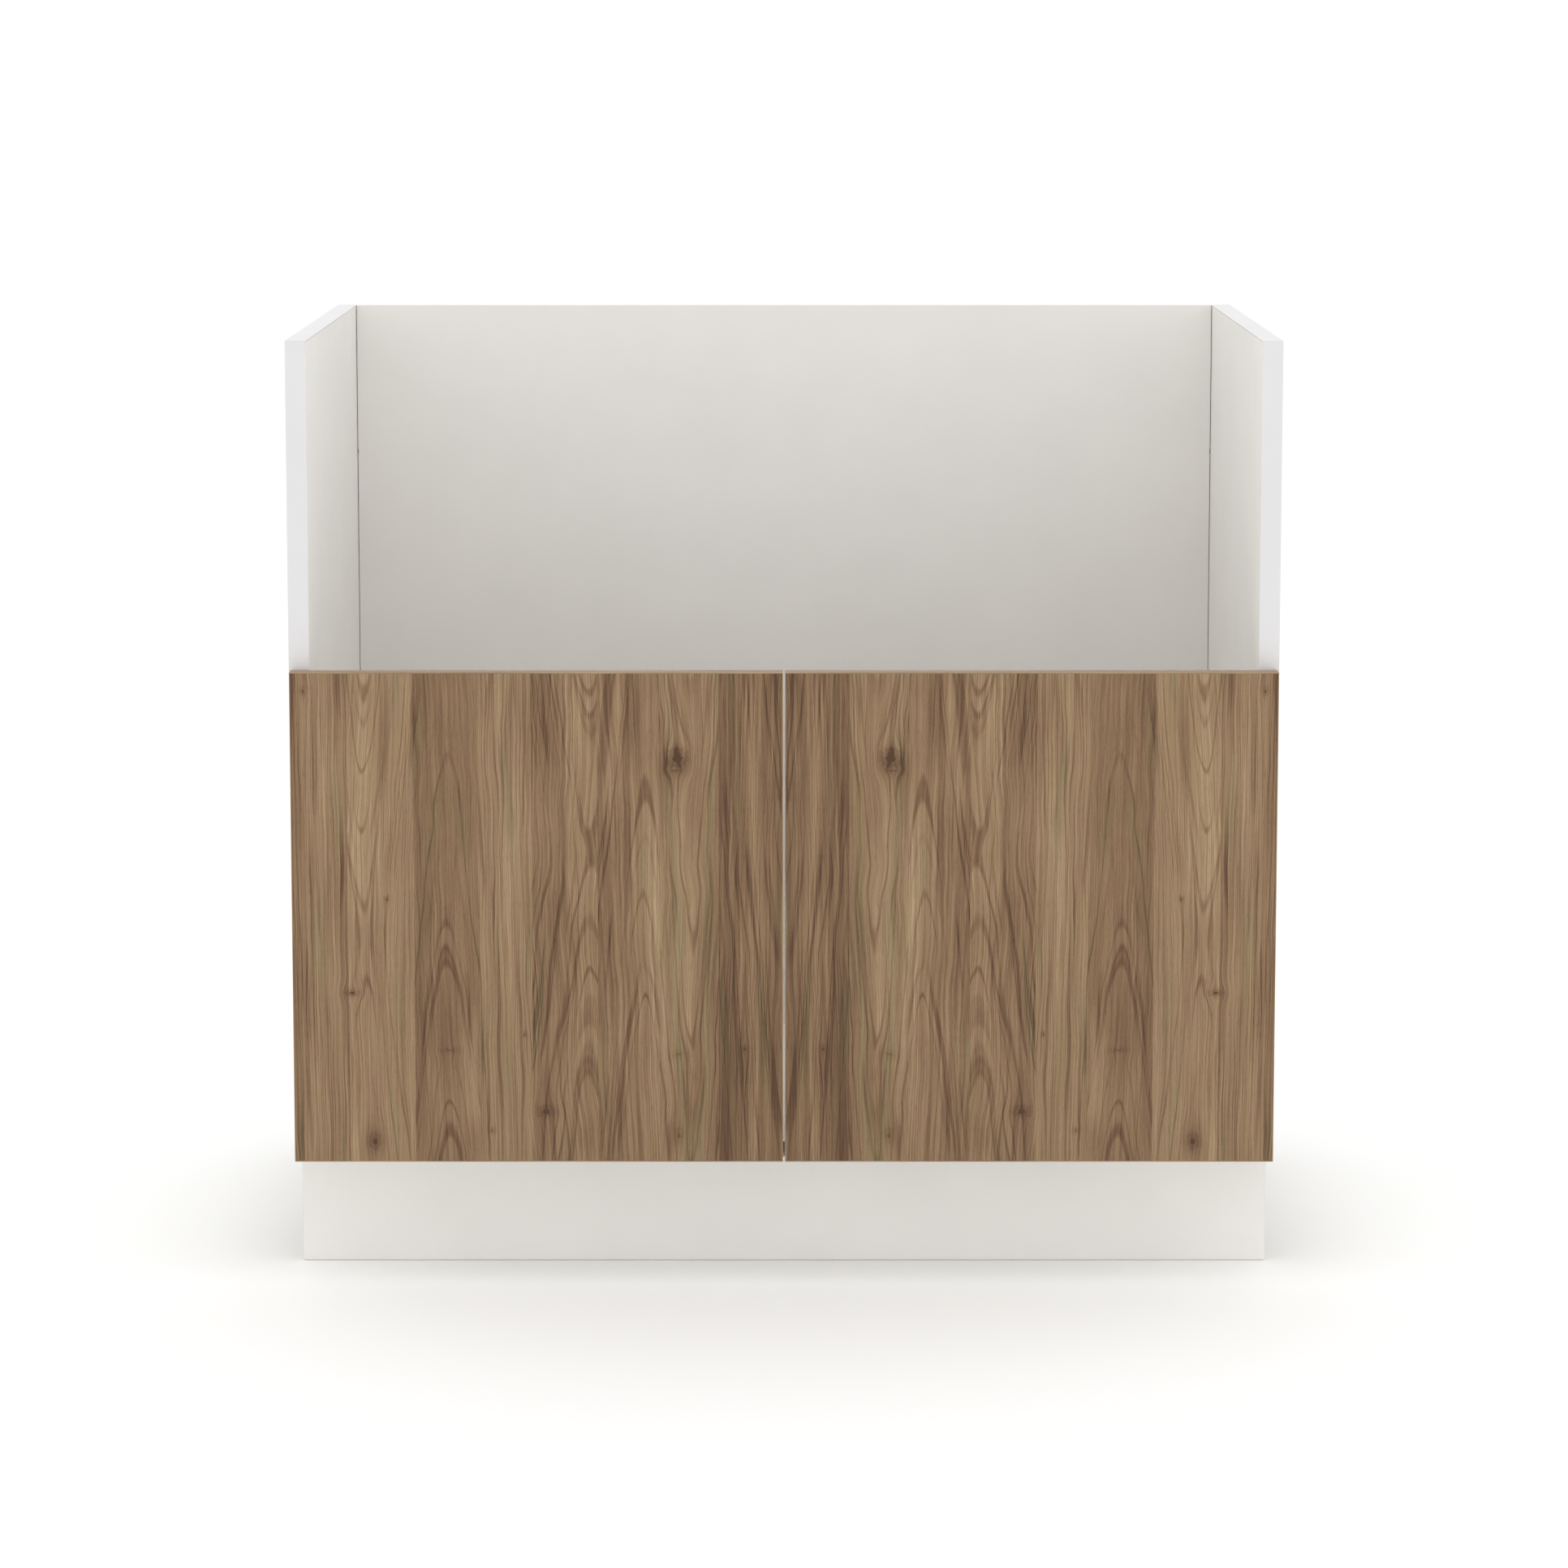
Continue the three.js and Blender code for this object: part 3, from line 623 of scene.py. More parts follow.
def turn_outwards(data):
    mesh = bmesh.new()
    mesh.from_mesh(data)
    bmesh.ops.recalc_face_normals(mesh, faces=mesh.faces)
    mesh.to_mesh(data)
    mesh.free()


def shade_smooth(data):
    for face in data.polygons:
        face.use_smooth = True
    data.set_sharp_from_angle(angle=SHARP_ANGLE)


def finish_piece(mesh, name, body, nodes, materials, bevel=0.0, steps=2):
    """Makes the object of a bmesh in mm: smooth, bevelled, riding on its body."""
    data = mesh_data(mesh, name)
    shade_smooth(data)
    piece = bpy.data.objects.new(name, data)
    bpy.context.collection.objects.link(piece)
    for material in materials:
        data.materials.append(material)
    if bevel:
        rounding = piece.modifiers.new("edges", "BEVEL")
        rounding.width = bevel * MM
        rounding.segments = steps
        rounding.limit_method = "ANGLE"
        rounding.angle_limit = BEVEL_ANGLE
    weighted = piece.modifiers.new("shading", "WEIGHTED_NORMAL")
    weighted.keep_sharp = True
    if nodes:
        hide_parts(*nodes)
    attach(piece, body)
    return piece


def add_box(mesh, low, high):
    """A box from its lowest corner to its highest."""
    made = bmesh.ops.create_cube(mesh, size=1)["verts"]
    size = Vector(high) - Vector(low)
    centre = (Vector(high) + Vector(low)) / 2
    for vertex in made:
        vertex.co = vertex.co * size + centre


def add_prism(mesh, outline, low, high, axis=2):
    """An outline pushed along an axis. The outline's two numbers are the other axes in order."""
    first, second = [other for other in range(3) if other != axis]
    rings = []
    for level in (low, high):
        ring = []
        for pair in outline:
            point = [level, level, level]
            point[first] = pair[0]
            point[second] = pair[1]
            ring.append(mesh.verts.new(point))
        rings.append(ring)
    bottom, top = rings
    mesh.faces.new(bottom)
    mesh.faces.new(top[::-1])
    for index in range(len(outline)):
        after = (index + 1) % len(outline)
        mesh.faces.new((bottom[index], bottom[after], top[after], top[index]))


def add_lathe(mesh, profile, centre, axis, segments=48):
    """Turns (radius, place along the axis) pairs about an axis through centre.
    A radius of 0 closes the shape there."""
    first, second = [other for other in range(3) if other != axis]
    rings = []
    for radius, along in profile:
        ring = []
        for step in range(segments if radius else 1):
            angle = math.tau * step / segments
            point = list(centre)
            point[axis] += along
            point[first] += radius * math.cos(angle)
            point[second] += radius * math.sin(angle)
            ring.append(mesh.verts.new(point))
        rings.append(ring)
    for near, far in zip(rings, rings[1:]):
        for step in range(segments):
            after = (step + 1) % segments
            loop = [near[step % len(near)], near[after % len(near)],
                    far[after % len(far)], far[step % len(far)]]
            once = list(dict.fromkeys(loop))
            if len(once) > 2:
                mesh.faces.new(once)


def carve(piece, cutter_mesh):
    """Cuts a closed bmesh, in mm, out of a finished piece, before its other modifiers."""
    cutter = bpy.data.objects.new("cutter", mesh_data(cutter_mesh, "cutter"))
    bpy.context.collection.objects.link(cutter)
    others = list(piece.modifiers)
    cut = piece.modifiers.new("cut", "BOOLEAN")
    cut.operation = "DIFFERENCE"
    cut.solver = "EXACT"
    cut.object = cutter
    for modifier in others:
        modifier.show_viewport = False
    evaluated = piece.evaluated_get(bpy.context.evaluated_depsgraph_get())
    result = bpy.data.meshes.new_from_object(evaluated)
    turn_outwards(result)
    piece.modifiers.remove(cut)
    for modifier in others:
        modifier.show_viewport = True
    piece.data = result
    bpy.data.objects.remove(cutter)
    shade_smooth(result)


def arc(centre, radius, start, turn, steps):
    """Points round a centre, from one angle through a turn, both ends included."""
    angles = [start + turn * step / steps for step in range(steps + 1)]
    return [(centre[0] + radius * math.cos(angle), centre[1] + radius * math.sin(angle)) for angle in angles]


def curve(start, bend, end, steps):
    """Points of a quadratic curve from start to end, drawn towards bend."""
    points = []
    for step in range(steps + 1):
        share = step / steps
        points.append(start * (1 - share) ** 2 + bend * 2 * share * (1 - share) + end * share ** 2)
    return points


def rounded_corners(outline, radius, steps=5):
    """The outline with each corner turned into an arc-like curve."""
    rounded = []
    for index, corner in enumerate(outline):
        corner = Vector(corner)
        before = Vector(outline[index - 1]) - corner
        after = Vector(outline[(index + 1) % len(outline)]) - corner
        start = corner + before.normalized() * min(radius, before.length / 2)
        end = corner + after.normalized() * min(radius, after.length / 2)
        rounded.extend(curve(start, corner, end, steps))
    return rounded


# ---------------------------------------------------------------- carcass

# How near a face's middle lies to the board's edge that it belongs to.
TOUCHING = 0.01


def board(node, body, material, bevel, raw=()):
    """A board the size of its CAD node. raw lists the faces that show the core, as (axis, end)."""
    low, high = corners(node)
    mesh = bmesh.new()
    add_box(mesh, low, high)
    for face in mesh.faces:
        for axis, end in raw:
            edge = (low if end < 0 else high)[axis]
            if abs(face.calc_center_median()[axis] - edge) < TOUCHING:
                face.material_index = 1
    piece = finish_piece(mesh, node + "_board", body, [node], [material, CORE, WORN], bevel)
    piece.modifiers["edges"].material = 2


# A panel screw's radius and lengths, and its hole's.
SHANK_RADIUS = 2.4
HEAD_DEPTH = 3.0
POINT_LENGTH = 4.0
PILOT_RADIUS = 2.8
SEAT_DEPTH = 3.8
HEAD_CLEARANCE = 0.4


def screw_names(name):
    return [f"{part}_screw_{name}_{end}" for part in ("bottom", "back") for end in "ab"]


def screw_head(node, side):
    """The middle of a panel screw's outer face, its head's radius and its length."""
    low, high = corners(node)
    centre = (low + high) / 2
    place = Vector((high.x if side > 0 else low.x, centre.y, centre.z))
    return place, (high.z - low.z) / 2, high.x - low.x


def add_screw_seat(mesh, side, node, outer_x, depth):
    """A countersunk hole for a panel screw, from a side panel's outer face inwards."""
    place, radius, _ = screw_head(node, side)
    place.x = outer_x
    mouth = radius + HEAD_CLEARANCE
    profile = [(0, -1), (mouth, -1), (mouth - 0.1, 0.5), (PILOT_RADIUS, SEAT_DEPTH), (PILOT_RADIUS, depth),
               (0, depth)]
    add_lathe(mesh, [(r, -side * along) for r, along in profile], place, 0, 32)


def make_carcass():
    low, high = corners("side_panel_right")
    thickness = high.x - low.x
    for name, side in SIDES.items():
        panel = f"side_panel_{name}"
        board(panel, "carcass", WHITE, 0.25, raw=[(1, 1), (2, -1)])
        holes = bmesh.new()
        for node in screw_names(name):
            add_screw_seat(holes, side, node, high.x * side, thickness + 1)
        carve(bpy.data.objects[panel + "_board"], holes)
        for edge in ("front", "top"):
            board(f"side_{edge}_band_{name}", "carcass", WHITE_BAND, 0.3)
    board("bottom_panel", "carcass", WHITE, 0.25, raw=[(0, -1), (0, 1), (1, 1)])
    board("bottom_front_band", "carcass", WHITE_BAND, 0.3)
    board("back_panel", "carcass", WHITE, 0.3, raw=[(0, -1), (0, 1), (2, -1)])


def make_screws():
    """Panel screws: a countersunk head with a rounded rim and a hexagon socket."""
    for name, side in SIDES.items():
        for node in screw_names(name):
            place, radius, length = screw_head(node, side)
            profile = [(0, 0), (radius - 0.3, 0), (radius - 0.06, 0.1), (radius, 0.35),
                       (SHANK_RADIUS, HEAD_DEPTH), (SHANK_RADIUS, length - POINT_LENGTH),
                       (SHANK_RADIUS / 4, length - 0.1), (0, length)]
            mesh = bmesh.new()
            add_lathe(mesh, [(r, -side * along) for r, along in profile], place, 0)
            piece = finish_piece(mesh, node + "_detail", "carcass", [node], [ZINC])
            socket = bmesh.new()
            hexagon = [(0, 1), (2.2, 1), (2.2, -2.4), (0, -3.2)]
            add_lathe(socket, [(r, side * along) for r, along in hexagon], place, 0, 6)
            carve(piece, socket)


# ---------------------------------------------------------------- feet

STEM_RADIUS = 13.5
THREAD_PITCH = 3.5
THREAD_DEPTH = 0.9
COLLAR_RADIUS = 17.0
COLLAR_TOP = 19.0
GRIPS = 24
SLEEVE_RADIUS = 17.0
SLEEVE_BORE = 14.0
FLANGE_THICKNESS = 5.0
SOCKET_RIBS = 8
SOCKET_SCREWS = 4


def around(centre, radius, angle, z):
    return Vector((centre.x + radius * math.cos(angle), centre.y + radius * math.sin(angle), z))


def add_thread(mesh, centre, radius, low_z, high_z, segments=40):
    """A screw thread: one ribbon of points wound up the stem, closed at both ends."""
    count = int((high_z - low_z) / THREAD_PITCH * segments)
    core = radius - THREAD_DEPTH
    # The thread's section: how far up the pitch, and how far out of the core.
    crest = ((0.0, 0.0), (0.35, THREAD_DEPTH), (0.55, THREAD_DEPTH), (0.9, 0.0))
    root = ((0.9, -0.6), (0.0, -0.6))
    rows = []
    for step in range(count + 1):
        turns = step / segments
        fade = min(1.0, turns, (count - step) / segments)
        section = [(rise, core + out * fade) for rise, out in crest]
        section.extend((rise, core + out) for rise, out in root)
        rows.append([mesh.verts.new(around(centre, reach, math.tau * turns,
                                           min(low_z + (turns + rise) * THREAD_PITCH, high_z)))
                     for rise, reach in section])
    for first, second in zip(rows, rows[1:]):
        for index in range(len(first)):
            after = (index + 1) % len(first)
            mesh.faces.new((first[index], first[after], second[after], second[index]))
    mesh.faces.new(rows[0])
    mesh.faces.new(rows[-1][::-1])


def make_foot(end, name):
    """A round pad, a collar with finger grips and a threaded stem."""
    node = f"foot_{end}_{name}"
    low, high = corners(node)
    centre = middle(node)
    pad = (high.x - low.x) / 2
    core = STEM_RADIUS - THREAD_DEPTH
    mesh = bmesh.new()
    profile = [(0, 0), (pad - 1.2, 0), (pad, 1.2), (pad, 3.6), (pad - 0.5, 4.6), (pad - 1.6, 5.1),
               (COLLAR_RADIUS + 2.5, 8.4), (COLLAR_RADIUS + 0.5, 10), (COLLAR_RADIUS, 11),
               (COLLAR_RADIUS, COLLAR_TOP - 1), (COLLAR_RADIUS - 0.6, COLLAR_TOP - 0.2), (core, COLLAR_TOP),
               (core, high.z - 1), (STEM_RADIUS - 2, high.z), (0, high.z)]
    add_lathe(mesh, profile, Vector((centre.x, centre.y, low.z)), 2, 64)
    for step in range(GRIPS):
        angle = math.tau * step / GRIPS
        half_width = Vector((-math.sin(angle), math.cos(angle))) * 0.7
        inner = around(centre, COLLAR_RADIUS - 0.4, angle, 0).xy
        outer = around(centre, COLLAR_RADIUS + 0.7, angle, 0).xy
        outline = [inner - half_width, outer - half_width * 0.6, outer + half_width * 0.6, inner + half_width]
        add_prism(mesh, outline, low.z + 11.4, low.z + 17.6)
    add_thread(mesh, centre, STEM_RADIUS, COLLAR_TOP + 1, high.z - 2)
    finish_piece(mesh, node + "_detail", f"{end}_{name}_foot", [node], [BLACK])


def make_socket(end, name):
    """A round flange screwed under the bottom panel, with a ribbed sleeve."""
    node = f"foot_socket_{end}_{name}"
    low, high = corners(node)
    base = middle(node)
    base.z = 0
    flange = (high.x - low.x) / 2
    under = high.z - FLANGE_THICKNESS
    ceiling = high.z - FLANGE_THICKNESS / 2
    profile = [(0, high.z), (flange - 0.6, high.z), (flange, high.z - 0.6), (flange, under + 1.2),
               (flange - 1.2, under), (SLEEVE_RADIUS + 2.5, under), (SLEEVE_RADIUS + 0.6, under - 0.9),
               (SLEEVE_RADIUS, under - 3), (SLEEVE_RADIUS, low.z + 1), (SLEEVE_RADIUS - 1, low.z),
               (SLEEVE_BORE + 0.4, low.z), (SLEEVE_BORE, low.z + 0.6), (SLEEVE_BORE, ceiling), (0, ceiling)]
    mesh = bmesh.new()
    add_lathe(mesh, profile, base, 2, 64)
    for step in range(SOCKET_RIBS):
        angle = math.tau * (step + 0.5) / SOCKET_RIBS
        add_socket_rib(mesh, base, angle, flange - 4, under)
    finish_piece(mesh, node + "_detail", "carcass", [node], [BLACK])
    for step in range(SOCKET_SCREWS):
        angle = math.tau * (step + 0.75) / SOCKET_SCREWS
        place = around(base, flange - 7.5, angle, under)
        add_cross_screw(f"{node}_screw_{step}", "carcass", place, 2, -1, 3.6)


def add_socket_rib(mesh, base, angle, reach, under):
    """A three-cornered rib between the flange and the sleeve."""
    across = Vector((-math.sin(angle), math.cos(angle), 0)) * 1.1
    shape = ((SLEEVE_RADIUS - 0.4, under + 0.5), (reach, under + 0.5), (SLEEVE_RADIUS - 0.4, under - 22))
    rib = []
    for radius, z in shape:
        point = around(base, radius, angle, z)
        rib.append(mesh.verts.new(point - across))
        rib.append(mesh.verts.new(point + across))
    for loop in ((0, 2, 4), (5, 3, 1), (0, 1, 3, 2), (2, 3, 5, 4), (4, 5, 1, 0)):
        mesh.faces.new([rib[index] for index in loop])


def add_cross_screw(name, body, place, axis, direction, radius):
    """A small domed screw head with a cross recess, lying on a face."""
    mesh = bmesh.new()
    profile = [(0, -0.6), (radius, -0.6), (radius, 0.25), (radius * 0.86, 0.9), (radius * 0.5, 1.35),
               (0, 1.5)]
    add_lathe(mesh, [(r, direction * along) for r, along in profile], place, axis, 32)
    piece = finish_piece(mesh, name, body, [], [ZINC])
    others = [other for other in range(3) if other != axis]
    for long_way, short_way in (others, others[::-1]):
        half = Vector((0, 0, 0))
        half[long_way] = radius * 0.6
        half[short_way] = radius * 0.13
        half[axis] = 0.85
        centre = Vector(place)
        centre[axis] += direction * 1.15
        cross = bmesh.new()
        add_box(cross, centre - half, centre + half)
        carve(piece, cross)


# ---------------------------------------------------------------- toe-kick

CLIP_SHEET = 3.0
CLIP_LIP = 5.0
CLIP_BARB = 0.8
CLIP_RIB = 2.4


def make_toe_kick():
    board("toe_kick_board", "toe_kick", WHITE, 0.4, raw=[(0, -1), (0, 1), (2, 1)])
    for name in SIDES:
        make_toe_kick_clip(name)


def make_toe_kick_clip(name):
    """A channel with two springy legs that snap round a foot's socket, and two ribs in it."""
    node = f"toe_kick_clip_{name}"
    low, high = corners(node)
    web = low.y + CLIP_SHEET
    lip = high.y - CLIP_LIP
    left = low.x + CLIP_SHEET
    right = high.x - CLIP_SHEET
    outline = [(low.x, low.y), (high.x, low.y), (high.x, high.y), (right + CLIP_BARB, high.y), (right, lip),
               (right, web), (left, web), (left, lip), (left - CLIP_BARB, high.y), (low.x, high.y)]
    mesh = bmesh.new()
    add_prism(mesh, outline, low.z, high.z)
    near = left + 2.2
    far = right - 2.2
    rib = [(near, web), (far, web), (far - 3, web + CLIP_RIB), (near + 3, web + CLIP_RIB)]
    for level in (low.z + 5, high.z - 7):
        add_prism(mesh, rib, level, level + 2)
    finish_piece(mesh, node + "_detail", "toe_kick", [node], [BLACK], 0.5)


# ---------------------------------------------------------------- doors

BAND = 1.0
CUP_BORE_RADIUS = 17.5
CUP_BORE_DEPTH = 12.3
CUP_RADIUS = 17.2


def make_doors():
    for name in SIDES:
        node = f"door_{name}"
        body = f"{name}_door"
        low, high = corners(node)
        inset = Vector((BAND, 0, BAND))
        mesh = bmesh.new()
        add_box(mesh, low + inset, high - inset)
        slab = finish_piece(mesh, node + "_slab", body, [node], [WALNUT], 0.12)
        bores = bmesh.new()
        bore = [(0, -CUP_BORE_DEPTH), (CUP_BORE_RADIUS, -CUP_BORE_DEPTH), (CUP_BORE_RADIUS, 1), (0, 1)]
        for height in HEIGHTS:
            place = Vector((cup_x(name), DOOR_BACK_Y, middle(f"hinge_cup_{height}_{name}").z))
            add_lathe(bores, bore, place, 1, 72)
        carve(slab, bores)
        west = low.x + BAND
        east = high.x - BAND
        bottom = low.z + BAND
        top = high.z - BAND
        strips = (
            ("top", low.x, high.x, top, high.z, WALNUT_BAND_X),
            ("bottom", low.x, high.x, low.z, bottom, WALNUT_BAND_X),
            ("west", low.x, west, bottom, top, WALNUT_BAND_Z),
            ("east", east, high.x, bottom, top, WALNUT_BAND_Z),
        )
        for edge, x_low, x_high, z_low, z_high, material in strips:
            strip = bmesh.new()
            add_box(strip, (x_low, low.y, z_low), (x_high, high.y, z_high))
            finish_piece(strip, f"{node}_{edge}_band", body, [node], [material], 0.35, 3)


def cup_x(name):
    """The middle of the cup, which lies inwards from its wings' middle line."""
    low, high = corners(f"hinge_cup_upper_{name}")
    return high.x - CUP_RADIUS if SIDES[name] < 0 else low.x + CUP_RADIUS


def make_bumpers():
    """Domed buttons stuck to the doors' backs."""
    for name in SIDES:
        for end in ("outer", "inner"):
            node = f"door_bumper_{name}_{end}"
            low, high = corners(node)
            place = middle(node)
            place.y = low.y
            radius = (high.x - low.x) / 2
            thick = high.y - low.y
            dome = [(radius * (0.55 + 0.45 * out), thick * (0.3 + 0.7 * up))
                    for out, up in arc((0, 0), 1, 0, math.pi / 2, 7)]
            mesh = bmesh.new()
            add_lathe(mesh, [(0, 0), (radius, 0), *dome, (0, thick)], place, 1, 40)
            finish_piece(mesh, node + "_dome", f"{name}_door", [node], [CLEAR])


# ---------------------------------------------------------------- hinges

SEAT_GAP = 0.3
# The plate: half the width of its wings, its screws' distance, its sheet and half its rib's width.
PLATE_WING = 8.0
PLATE_SCREW_PITCH = 32.0
PLATE_THICKNESS = 3.0
PLATE_RIB = 6.0
PLATE_SHOULDER = 5.0
# The arm: its sheet, and where its two screws lie from its rear end.
ARM_SHEET = 1.2
ARM_SLOT_SCREW = 12.0
ARM_FIXED_SCREW = 30.0
ARM_SLOT_HALF = 4.0
ARM_SLOT_RADIUS = 2.6
# The cup: its bore's radius, its flange's height over the door, and its two wings.
CUP_INSIDE = 16.2
CUP_FLANGE = 1.5
CUP_WING_RADIUS = 7.0
CUP_WING_REACH = 22.5
CUP_WING_OFFSET = 7.0
# The link: half its sheet, its eyes' radius and their bore, and its bend from the cup's pin.
LINK_HALF = 1.1
LINK_EYE = 3.0
LINK_BORE = 1.6
LINK_BEND = (9.8, 8.4)


def make_hinge(height, name):
    side = SIDES[name]
    label = f"{height}_{name}"
    make_hinge_plate(label, side)
    make_hinge_arm(label, side)
    make_hinge_cup(label, name)
    make_hinge_link(label, name)
    make_hinge_pin(f"hinge_arm_pin_{label}", "carcass")
    make_hinge_pin(f"hinge_cup_pin_{label}", f"{name}_door")


def make_hinge_plate(label, side):
    """A winged plate on the side panel, with a rib and two screws."""
    node = f"hinge_plate_{label}"
    low, high = corners(node)
    centre = middle(node)
    wall_x = side * (corners("side_panel_right")[0].x - SEAT_GAP)
    face_x = wall_x - side * PLATE_THICKNESS
    crest_x = low.x if side > 0 else high.x
    wing_end = PLATE_SCREW_PITCH / 2 + PLATE_WING
    shoulder = PLATE_RIB + PLATE_SHOULDER
    left = centre.y - PLATE_WING
    right = centre.y + PLATE_WING
    outline = [(left, -wing_end), (right, -wing_end), (right, -shoulder), (high.y, -PLATE_RIB),
               (high.y, PLATE_RIB), (right, shoulder), (right, wing_end), (left, wing_end),
               (left, shoulder), (low.y, PLATE_RIB), (low.y, -PLATE_RIB), (left, -shoulder)]
    outline = [(y, centre.z + up) for y, up in outline]
    mesh = bmesh.new()
    add_prism(mesh, rounded_corners(outline, 5.5), *sorted((wall_x, face_x)), axis=0)
    rib_near, rib_far = sorted((face_x + side * 0.4, crest_x))
    rib_half = PLATE_RIB - 0.4
    add_box(mesh, (rib_near, low.y + 1, centre.z - rib_half), (rib_far, high.y - 1, centre.z + rib_half))
    finish_piece(mesh, node + "_detail", "carcass", [node], [NICKEL], 0.45, 3)
    for end, which in ((-1, "b"), (1, "t")):
        place = Vector((face_x, centre.y, centre.z + end * PLATE_SCREW_PITCH / 2))
        add_cross_screw(f"{node}_screw_{which}", "carcass", place, 0, -side, 4.2)


def make_hinge_arm(label, side):
    """A folded channel over the plate's rib, with a slotted web and round ears at its nose."""
    node = f"hinge_arm_{label}"
    low, high = corners(node)
    centre = middle(node)
    pin = middle(f"hinge_arm_pin_{label}")
    open_x = high.x if side > 0 else low.x
    web_x = low.x if side > 0 else high.x
    nose = pin.y - low.y
    ear = [(pin.x - side * across, y) for across, y in arc((0, pin.y), nose, 0, -math.pi, 10)]
    outline = [(open_x, high.y), (web_x, high.y), (web_x, pin.y), *ear[1:],
               (pin.x + side * nose, pin.y + nose), (open_x, pin.y + nose * 2.4)]
    mesh = bmesh.new()
    add_prism(mesh, outline, high.z - ARM_SHEET, high.z)
    add_prism(mesh, outline, low.z, low.z + ARM_SHEET)
    web_near, web_far = sorted((web_x, web_x + side * ARM_SHEET))
    half_sheet = ARM_SHEET / 2
    add_box(mesh, (web_near, pin.y + 8, low.z + half_sheet), (web_far, high.y, high.z - half_sheet))
    piece = finish_piece(mesh, node + "_detail", "carcass", [node], [NICKEL], 0.3, 3)
    slot_y = high.y - ARM_SLOT_SCREW
    rear = arc((slot_y + ARM_SLOT_HALF, centre.z), ARM_SLOT_RADIUS, math.pi / 2, -math.pi, 8)
    front = arc((slot_y - ARM_SLOT_HALF, centre.z), ARM_SLOT_RADIUS, -math.pi / 2, -math.pi, 8)
    slot = bmesh.new()
    add_prism(slot, rear + front, web_near - 1, web_far + 1, axis=0)
    carve(piece, slot)
    for offset, radius in ((ARM_SLOT_SCREW, 3.0), (ARM_FIXED_SCREW, 3.4)):
        place = Vector((web_x, high.y - offset, centre.z))
        add_cross_screw(f"{node}_screw_{offset:.0f}", "carcass", place, 0, -side, radius)


def make_hinge_cup(label, name):
    """A pressed cup with a rolled rim, and two wings screwed to the door."""
    node = f"hinge_cup_{label}"
    body = f"{name}_door"
    floor = corners(node)[0].y
    x = cup_x(name)
    z = middle(node).z
    face = DOOR_BACK_Y + SEAT_GAP
    rim = DOOR_BACK_Y + CUP_FLANGE
    profile = [(0, floor), (CUP_RADIUS - 2, floor), (CUP_RADIUS - 0.6, floor + 0.5), (CUP_RADIUS, floor + 2),
               (CUP_RADIUS, face), (CUP_RADIUS + 0.1, rim - 0.2), (CUP_RADIUS - 0.1, rim),
               (CUP_INSIDE + 0.2, rim), (CUP_INSIDE, rim - 0.25), (CUP_INSIDE, floor + 2.4),
               (CUP_INSIDE - 1.2, floor + 1.1), (0, floor + 1)]
    mesh = bmesh.new()
    add_lathe(mesh, profile, Vector((x, 0, z)), 1, 72)
    finish_piece(mesh, node + "_pot", body, [node], [NICKEL])
    wing_x = x - SIDES[name] * CUP_WING_OFFSET
    # A wing's round end, then its inner edge along the cup's rim.
    wing_outline = arc((wing_x, CUP_WING_REACH), CUP_WING_RADIUS, 0, math.pi, 16)
    for step in range(9):
        edge_x = wing_x + CUP_WING_RADIUS * (step / 4 - 1)
        wing_outline.append((edge_x, math.sqrt((CUP_INSIDE + 0.3) ** 2 - (edge_x - x) ** 2)))
    for end, which in ((-1, "b"), (1, "t")):
        wing = bmesh.new()
        add_prism(wing, [(across, z + end * up) for across, up in wing_outline], face, rim - 0.06, axis=1)
        finish_piece(wing, f"{node}_wing_{which}", body, [node], [NICKEL], 0.3)
        place = Vector((wing_x, rim - 0.9, z + end * (CUP_WING_REACH + 0.5)))
        add_cross_screw(f"{node}_screw_{which}", body, place, 1, 1, 3.4)


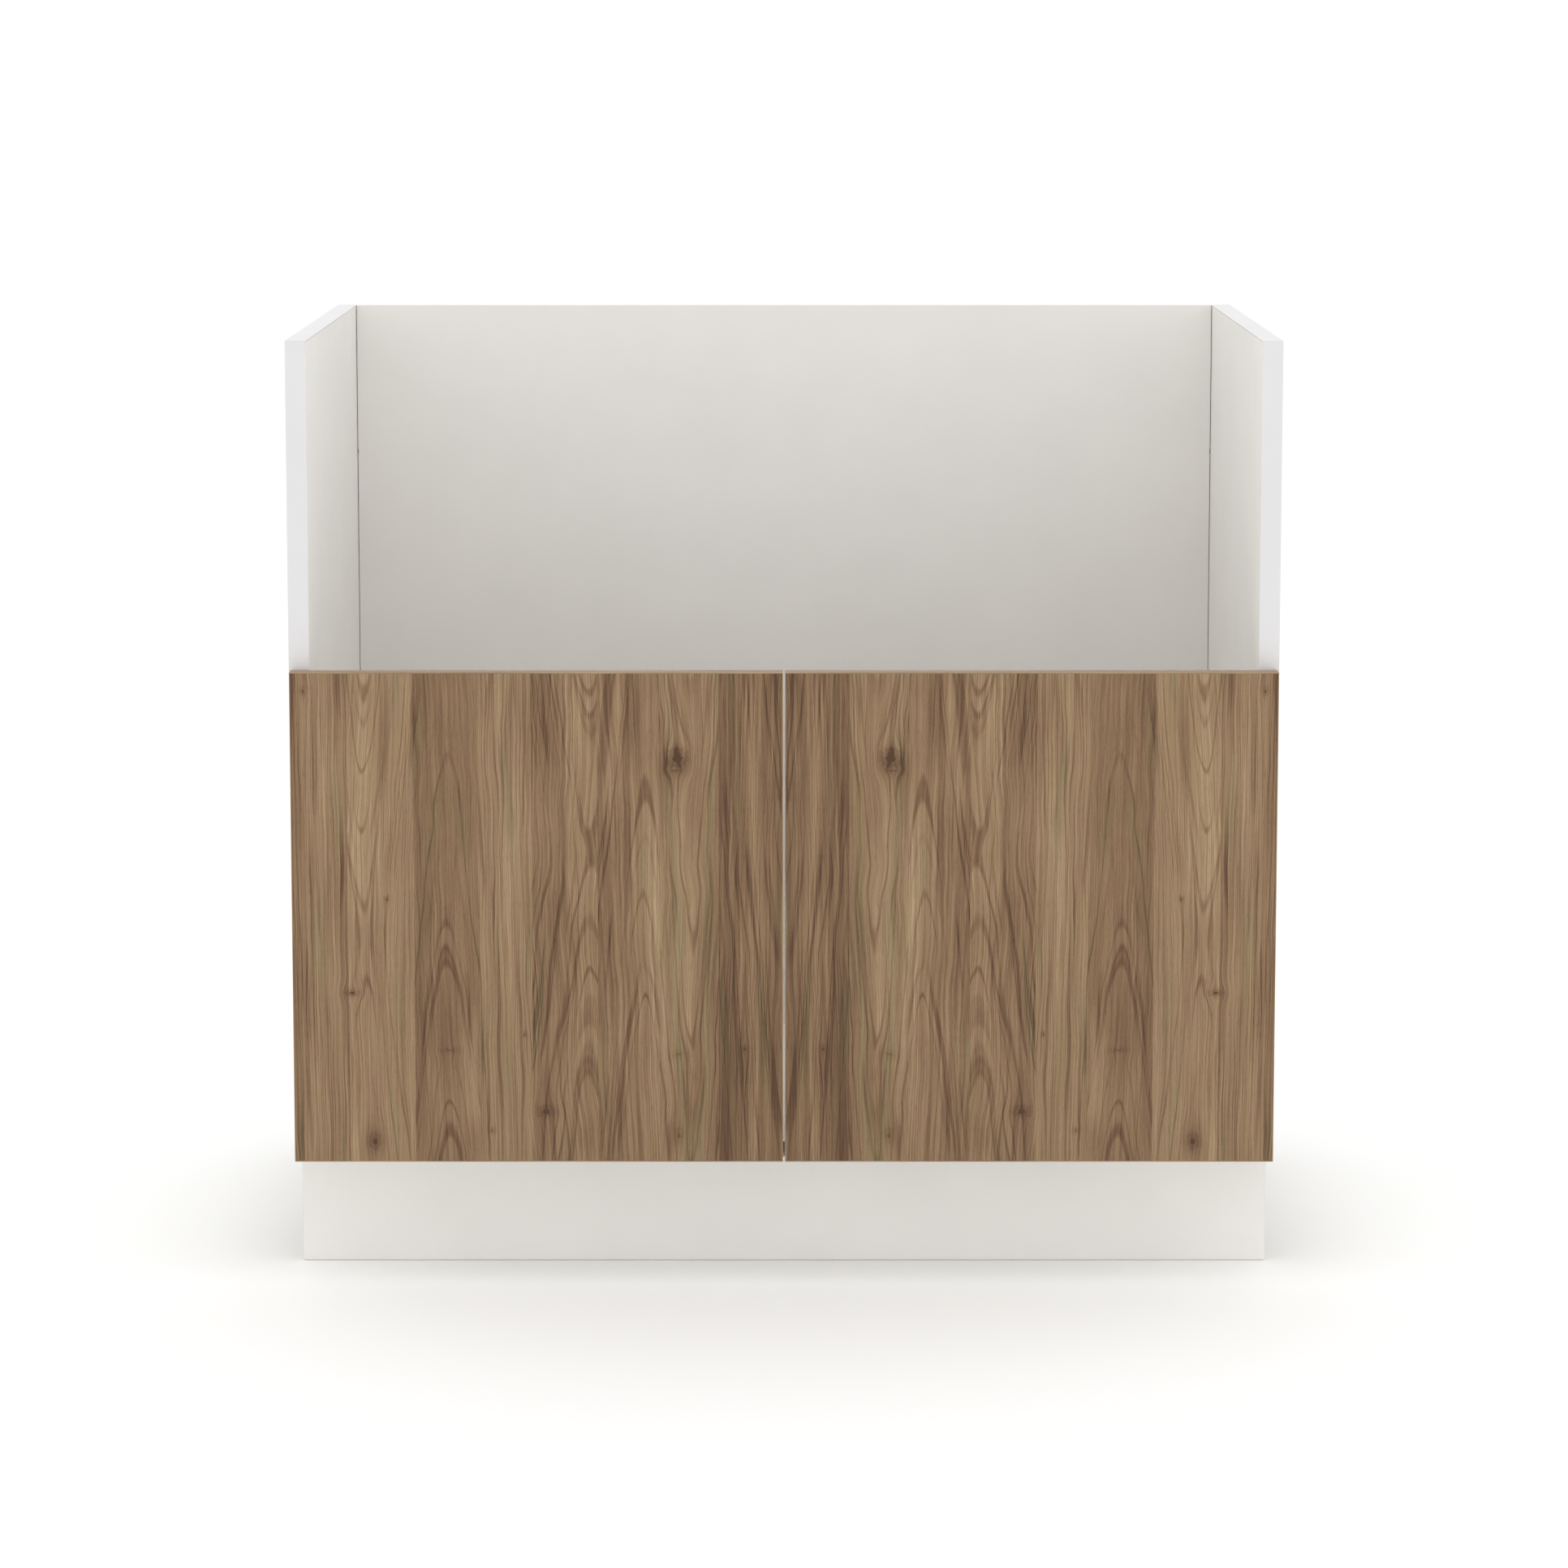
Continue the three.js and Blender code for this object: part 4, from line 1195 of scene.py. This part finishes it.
def make_hinge_link(label, name):
    """A bar bent round the cup's rim, with an eye rolled round each pin."""
    node = f"hinge_link_{label}"
    low, high = corners(node)
    pins = [middle(f"hinge_{end}_pin_{label}").xy for end in ("arm", "cup")]
    arm_pin, cup_pin = pins
    bend = cup_pin - Vector((SIDES[name] * LINK_BEND[0], LINK_BEND[1]))
    line = curve(arm_pin, bend, cup_pin, 24)
    clear = [point for point in line if min((point - pin).length for pin in pins) > LINK_BORE + 0.5]
    left = []
    right = []
    for index, point in enumerate(clear):
        ahead = clear[min(index + 1, len(clear) - 1)] - clear[max(index - 1, 0)]
        normal = Vector((-ahead.y, ahead.x)).normalized() * LINK_HALF
        left.append(point + normal)
        right.append(point - normal)
    mesh = bmesh.new()
    add_prism(mesh, left + right[::-1], low.z, high.z)
    eye = [(LINK_BORE, low.z), (LINK_EYE - 0.2, low.z), (LINK_EYE, low.z + 0.2), (LINK_EYE, high.z - 0.2),
           (LINK_EYE - 0.2, high.z), (LINK_BORE, high.z), (LINK_BORE, low.z)]
    for pin in (cup_pin, arm_pin):
        add_lathe(mesh, eye, Vector((pin.x, pin.y, 0)), 2, 40)
    bmesh.ops.remove_doubles(mesh, verts=mesh.verts, dist=1e-4)
    finish_piece(mesh, node + "_detail", f"{name}_links", [node], [NICKEL], 0.15)


def make_hinge_pin(node, body):
    """A riveted pin with a domed head at each end."""
    low, high = corners(node)
    centre = middle(node)
    centre.z = 0
    radius = (high.x - low.x) / 2
    profile = [(0, low.z), (radius * 0.7, low.z), (radius, low.z + 0.5), (radius, high.z - 0.5),
               (radius * 0.7, high.z), (0, high.z)]
    mesh = bmesh.new()
    add_lathe(mesh, profile, centre, 2, 32)
    finish_piece(mesh, node + "_detail", body, [node], [ZINC])


# ---------------------------------------------------------------- stage

FLOOR_REACH = 30000
FLOOR_Z = -0.3


def make_floor():
    data = bpy.data.meshes.new("floor")
    square = ((-1, -1), (1, -1), (1, 1), (-1, 1))
    points = [(x * FLOOR_REACH * MM, y * FLOOR_REACH * MM, FLOOR_Z * MM) for x, y in square]
    data.from_pydata(points, [], [(0, 1, 2, 3)])
    data.materials.append(floor_paint("pale_floor"))
    floor = bpy.data.objects.new("floor", data)
    bpy.context.collection.objects.link(floor)


make_camera()
make_light()
make_floor()
make_carcass()
make_screws()
for side_name in SIDES:
    for foot_end in ("front", "rear"):
        make_socket(foot_end, side_name)
        make_foot(foot_end, side_name)
    for hinge_height in HEIGHTS:
        make_hinge(hinge_height, side_name)
make_toe_kick()
make_doors()
make_bumpers()

bpy.context.scene.view_settings.view_transform = "Standard"
